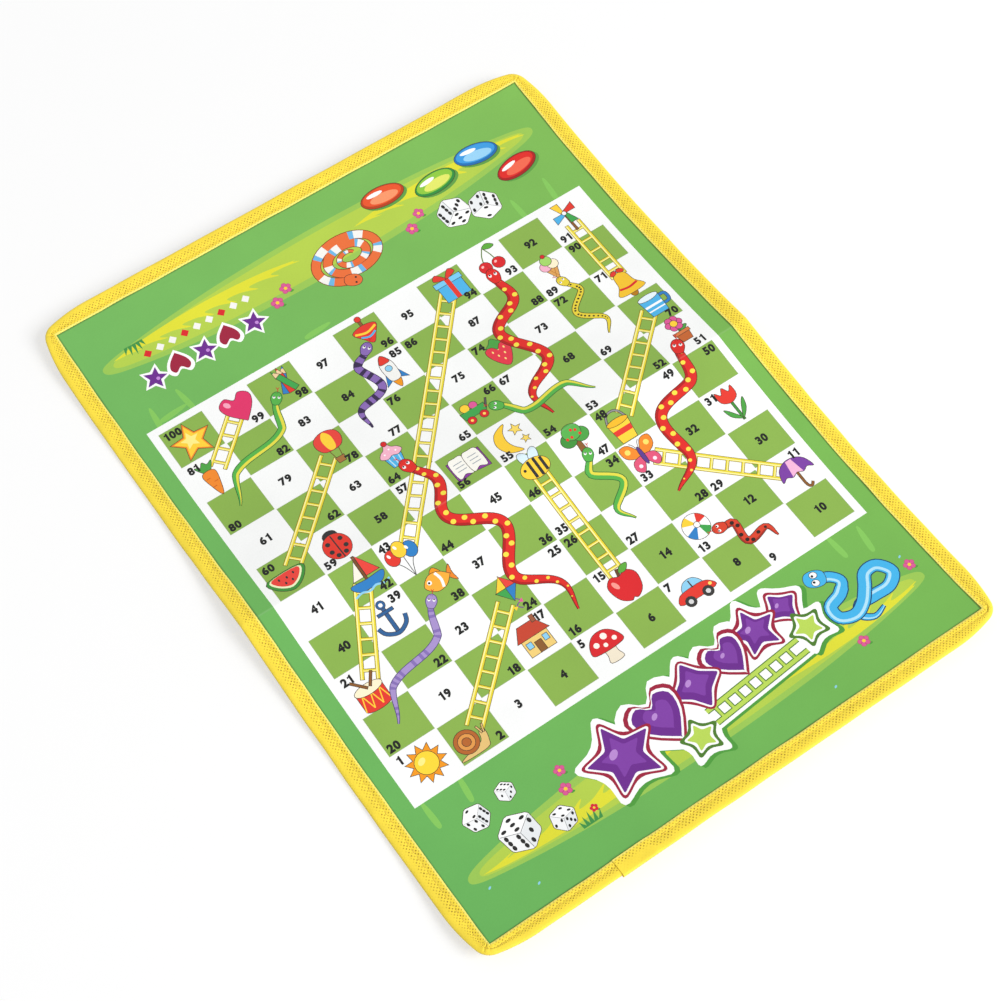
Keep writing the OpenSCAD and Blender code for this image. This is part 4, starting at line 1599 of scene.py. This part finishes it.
def tape_stations():
    """Places along the board's edge where the tape's section stands: the place on the
    outer edge, the way inwards, how far round a corner it is, and its stitch's phase."""
    stations = []

    def straight(x0, y0, x1, y1, inward, phase, marks=()):
        length = math.hypot(x1 - x0, y1 - y0)
        steps = max(1, round(length / TAPE_STEP))
        for t in sorted({i / steps for i in range(steps)} | set(marks)):
            x, y = x0 + (x1 - x0) * t, y0 + (y1 - y0) * t
            stations.append((x, y, inward, 0.0, phase(x, y)))

    def corner(right, far, trim, from_end):
        line = corner_line(0, trim, TAPE_LEAN_STEPS, TAPE_ROUND_STEPS)
        for x, y, a in (line[::-1] if from_end else line)[:-1]:
            share = min(max((a - PULL) / (math.pi / 2 - 2 * PULL), 0), 1)
            phase = by_side(x, y) if share == 0 else by_end(x, y) if share == 1 else None
            inward = Vector((-right * math.cos(a), -far * math.sin(a)))
            stations.append((right * x, far * y, inward, share, phase))

    def by_side(x, y):
        return (abs(y) - FIRST_STITCH) / STITCH_PITCH

    def by_end(x, y):
        return x / STITCH_PITCH

    far = HALF_L - DRAW_L
    near = far - LAP_STEP
    wide = HALF_W - DRAW_L
    start_y = LAP_STEP - HALF_L
    # Beside the crease the stations are close together, so that the tape bends there.
    bend_marks = [0, 0.25, 0.5, 0.75, 1.0, 1.5, 2.0]
    left_marks = [(near + k * m) / (near + far) for m in bend_marks for k in (-1, 1)]
    right_marks = [(far + k * m) / (2 * far) for m in bend_marks for k in (-1, 1)]
    straight(LAP_L - LAP_X, start_y, -wide, start_y, Vector((0, 1)), by_end)
    corner(-1, -1, LAP_STEP, True)
    straight(-HALF_W, -near, -HALF_W, far, Vector((1, 0)), by_side, left_marks)
    corner(-1, 1, 0, False)
    straight(-wide, HALF_L, wide, HALF_L, Vector((0, -1)), by_end)
    corner(1, 1, 0, True)
    straight(HALF_W, far, HALF_W, -far, Vector((-1, 0)), by_side, right_marks)
    corner(1, -1, 0, False)
    straight(wide, -HALF_L, -LAP_X, -HALF_L, Vector((0, 1)), by_end, [1.0])
    return stations


def reach_in(x, y, inward, band):
    """How far in from the outer edge a line beside it is, such as the tape's inner edge."""
    reaches = []
    for place, way, half in ((x, inward.x, HALF_W), (y, inward.y, HALF_L)):
        if abs(way) > 1e-6:
            reaches.append((abs(place) - (half - band)) / abs(way))
    return max(reaches)


# At a corner the tape is tucked under itself, with a smaller fold beside the tuck: how
# far round the corner each lies, how deep it is and how wide.
TUCKS = ((0.36, 1.5, 0.05), (0.68, 0.8, 0.07))
OUTER_SWAY, INNER_SWAY = 0.22, 0.32          # how far its fold and its inner edges wander
STANDS_OFF = 0.06        # how far the fold stands off what it holds
FULLER = 0.35            # how much its fullness varies, as a share
CURL, CURL_L = 0.3, 4    # how much the cut end lifts, and over what length
LEAST_GROOVE = 2.6       # the seam's groove stays this far from the board's edge

points, flat = [], []
stations = tape_stations()
run, before = 0.0, None
for x, y, inward, corner_share, phase in stations:
    if before:
        run += math.hypot(x - before[0], y - before[1])
    before = (x, y)
    front, back = reach_in(x, y, inward, FRONT_BAND), reach_in(x, y, inward, BACK_BAND)
    front_groove = max(LEAST_GROOVE, reach_in(x, y, inward, SEAM_IN))
    # The tape's end rises onto its start over a short ramp before the lap.
    on_lap = 0.0
    if y < 0.5 - HALF_L and x < 0:
        on_lap = max(0.0, min(1.0, (LAP_L + LAP_RAMP - (x + LAP_X)) / LAP_RAMP))
    curl = CURL * on_lap * max(0.0, 1 - (x + LAP_X) / CURL_L)
    wander = Vector((run / 22, 0.3, 7.1))
    outer_sway = OUTER_SWAY * noise.noise(wander) - STANDS_OFF
    inner_sway = INNER_SWAY * noise.noise(wander * 1.3 + Vector((40, 0, 0)))
    fullness = 1 + FULLER * noise.noise(Vector((run / 9, 5.5, 1.2)))
    pucker = 0.5 + 0.5 * math.cos(math.tau * phase) if phase is not None else 0.5
    arch = math.sin(math.pi * corner_share)
    pleat = arch * sum(deep * math.exp(-((corner_share - at) / wide) ** 2)
                       for at, deep, wide in TUCKS)
    for k, (d, h) in enumerate(SECTION):
        on_front = k < FRONT_POINTS or k >= len(OUTER) + BACK_INNER
        band, width = (FRONT_BAND, front) if on_front else (BACK_BAND, back)
        # The groove of the seam keeps its line where the edge leans away from it.
        groove_at = front_groove if on_front else width * 0.6
        if d <= EDGE_IN:
            depth = d
        elif d <= SEAM_IN:
            depth = EDGE_IN + (d - EDGE_IN) / (SEAM_IN - EDGE_IN) * (groove_at - EDGE_IN)
        else:
            depth = groove_at + (d - SEAM_IN) / (band - SEAM_IN) * (width - groove_at)
        share = max(0.0, (d - EDGE_IN) / (band - EDGE_IN))
        depth += outer_sway * (1 - min(1, d / 4)) + inner_sway * share
        if k < FRONT_POINTS:
            puff = h - PUFF_FROM
            if puff > 0:
                groove = max(0.0, 1 - abs(d - SEAM_IN) / 1.6)
                h = PUFF_FROM + puff * (fullness + 0.9 * arch) * (1 - 0.3 * groove * pucker)
                h = max(TUCK_LOW, h - 0.42 * pleat * math.sin(math.pi * d / FRONT_RUN))
                h += (PRESSED_TO - h) * 0.85 * on_lap
            h += LAP_RISE * on_lap * min(1, max(0, h - 0.6) / 1.2)
            h += curl * math.sin(math.pi * min(d, 8.4) / FRONT_BAND)
        elif on_front:
            lift = 0.8 * curl * math.sin(math.pi * min(d, 8.4) / FRONT_BAND)
            h += LAP_RISE * on_lap + lift
        else:
            h -= LAP_RISE * on_lap * min(1, max(0, 1.1 - h) / 0.8)
        points.append(on_board(x + inward.x * depth, y + inward.y * depth, h))
        # The third number is how far a place on the tape's front lies within the dots' reach. It is
        # large along the cut edge, where the material paints a highlight, and below zero on the
        # back of the fold.
        v = across_run[k]
        if v < LIT_EDGE_W:
            third = LIT_EDGE_MARK
        elif v < FRONT_RUN:
            third = DOTS_REACH + 0.8 * x / HALF_W - 2.6 * on_lap - v
        else:
            third = -0.5 if abs(y) < CREASE else 2.0
        flat.append((run, v, third))
size = len(SECTION)
last = (len(stations) - 1) * size
faces = []
for a in range(0, last, size):
    for k in range(size):
        b = (k + 1) % size
        faces.append((a + k, a + b, a + size + b, a + size + k))
faces.append(tuple(range(size - 1, -1, -1)))
faces.append(tuple(range(last, last + size)))
tape = add_piece("binding_tape", points, faces, flat)
tape.data.materials.append(nonwoven(
    "yellow_spunbond_tape", cloth="#FEE036", dot="#A87C00", fibre_colour="#FFE750",
    dot_edge=0.17, dots_from=-0.6, roughness=0.7))
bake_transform(tape)
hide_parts("binding_lower", "binding_upper", "binding_lap")


# Seam

# A lockstitch in yellow polyester thread, 6 mm in from the edge, through the tape
# and the board. Each stitch lies in the groove that it pulls into the tape, and
# its two ends dip into the needle holes.

STITCH_L, THREAD_R = 3.2, 0.19
STITCH_HEIGHT, STITCH_DIP = 2.2, 0.34
SEAM_X, SEAM_Y = HALF_W - SEAM_IN, HALF_L - SEAM_IN
SIDE_STITCHES, END_STITCHES = 42, 64
THREAD_SIDES, THREAD_STEPS = 8, 8  # round a stitch and along it

thread = bpy.data.materials.new("twisted_polyester_thread")
# Two plies twisted together: a small soft sheen, and slanting lines that the eye reads as a cord.
# The lines are painted shade: each ply is coloured lighter along one part and darker where it meets
# the next. The real plies are 0.25 mm apart; they are drawn 0.5 mm apart.
tree = empty_tree(thread)
flat_place = add(tree, "ShaderNodeAttribute", attribute_name="flat")
slant = add(tree, "ShaderNodeMapping", {
    "Vector": flat_place.outputs["Vector"], "Rotation": (0, 0, math.radians(35))})
plies = add(tree, "ShaderNodeTexWave", {"Vector": slant, "Scale": 1 / 0.5, "Distortion": 0.6})
ply_painted_shade = add(tree, "ShaderNodeMix", {
    0: plies.outputs["Fac"], 6: linear("#E6C024"), 7: linear("#FFE355")}, data_type="RGBA")
bump = add(tree, "ShaderNodeBump", {
    "Height": plies.outputs["Fac"], "Strength": 0.5, "Distance": 0.08 * MM})
shader = add(tree, "ShaderNodeBsdfPrincipled", {
    "Base Color": ply_painted_shade.outputs[2], "Roughness": 0.5, "Normal": bump,
    "Sheen Weight": 0.2})
add(tree, "ShaderNodeOutputMaterial", {"Surface": shader})

for side, body in ((-1, "lower_half"), (1, "upper_half")):
    # Each stitch's middle and the way that it runs. The cut end covers some of them.
    places = [(edge * SEAM_X, side * (FIRST_STITCH + i * STITCH_PITCH), Vector((0, 1)))
              for edge in (-1, 1) for i in range(SIDE_STITCHES + 1)]
    for i in range(END_STITCHES + 1):
        x = (i - END_STITCHES / 2) * STITCH_PITCH
        covered = side < 0 and abs(x + LAP_X - LAP_L / 2) < LAP_L / 2 + STITCH_L
        if not covered:
            places.append((x, side * SEAM_Y, Vector((1, 0))))
    points, flat, faces = [], [], []
    for x, y, way in places:
        start = len(points)
        for i in range(THREAD_STEPS + 1):
            t = 2 * i / THREAD_STEPS - 1
            girth = THREAD_R * math.sqrt(max(0.02, 1 - t ** 6))
            rise = STITCH_HEIGHT - STITCH_DIP * t ** 4
            for j in range(THREAD_SIDES):
                a = math.tau * j / THREAD_SIDES
                px = x + way.x * t * STITCH_L / 2 + way.y * girth * math.cos(a)
                py = y + way.y * t * STITCH_L / 2 + way.x * girth * math.cos(a)
                points.append(on_board(px, py, rise + girth * math.sin(a)))
                flat.append((t * STITCH_L / 2 + x + y, THREAD_R * a, 0))
        first = tuple(range(start, start + THREAD_SIDES))
        stitch = []
        for i in range(THREAD_STEPS):
            for j in range(THREAD_SIDES):
                a, b = (start + i * THREAD_SIDES + n for n in (j, (j + 1) % THREAD_SIDES))
                stitch.append((a, b, b + THREAD_SIDES, a + THREAD_SIDES))
        stitch += [first[::-1], tuple(n + THREAD_STEPS * THREAD_SIDES for n in first)]
        faces += [f[::-1] for f in stitch] if way.y else stitch
    seam = add_piece("seam_thread_" + body.split("_")[0], points, faces, flat)
    seam.data.materials.append(thread)
    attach(seam, body)
    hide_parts("stitching_" + body.split("_")[0])
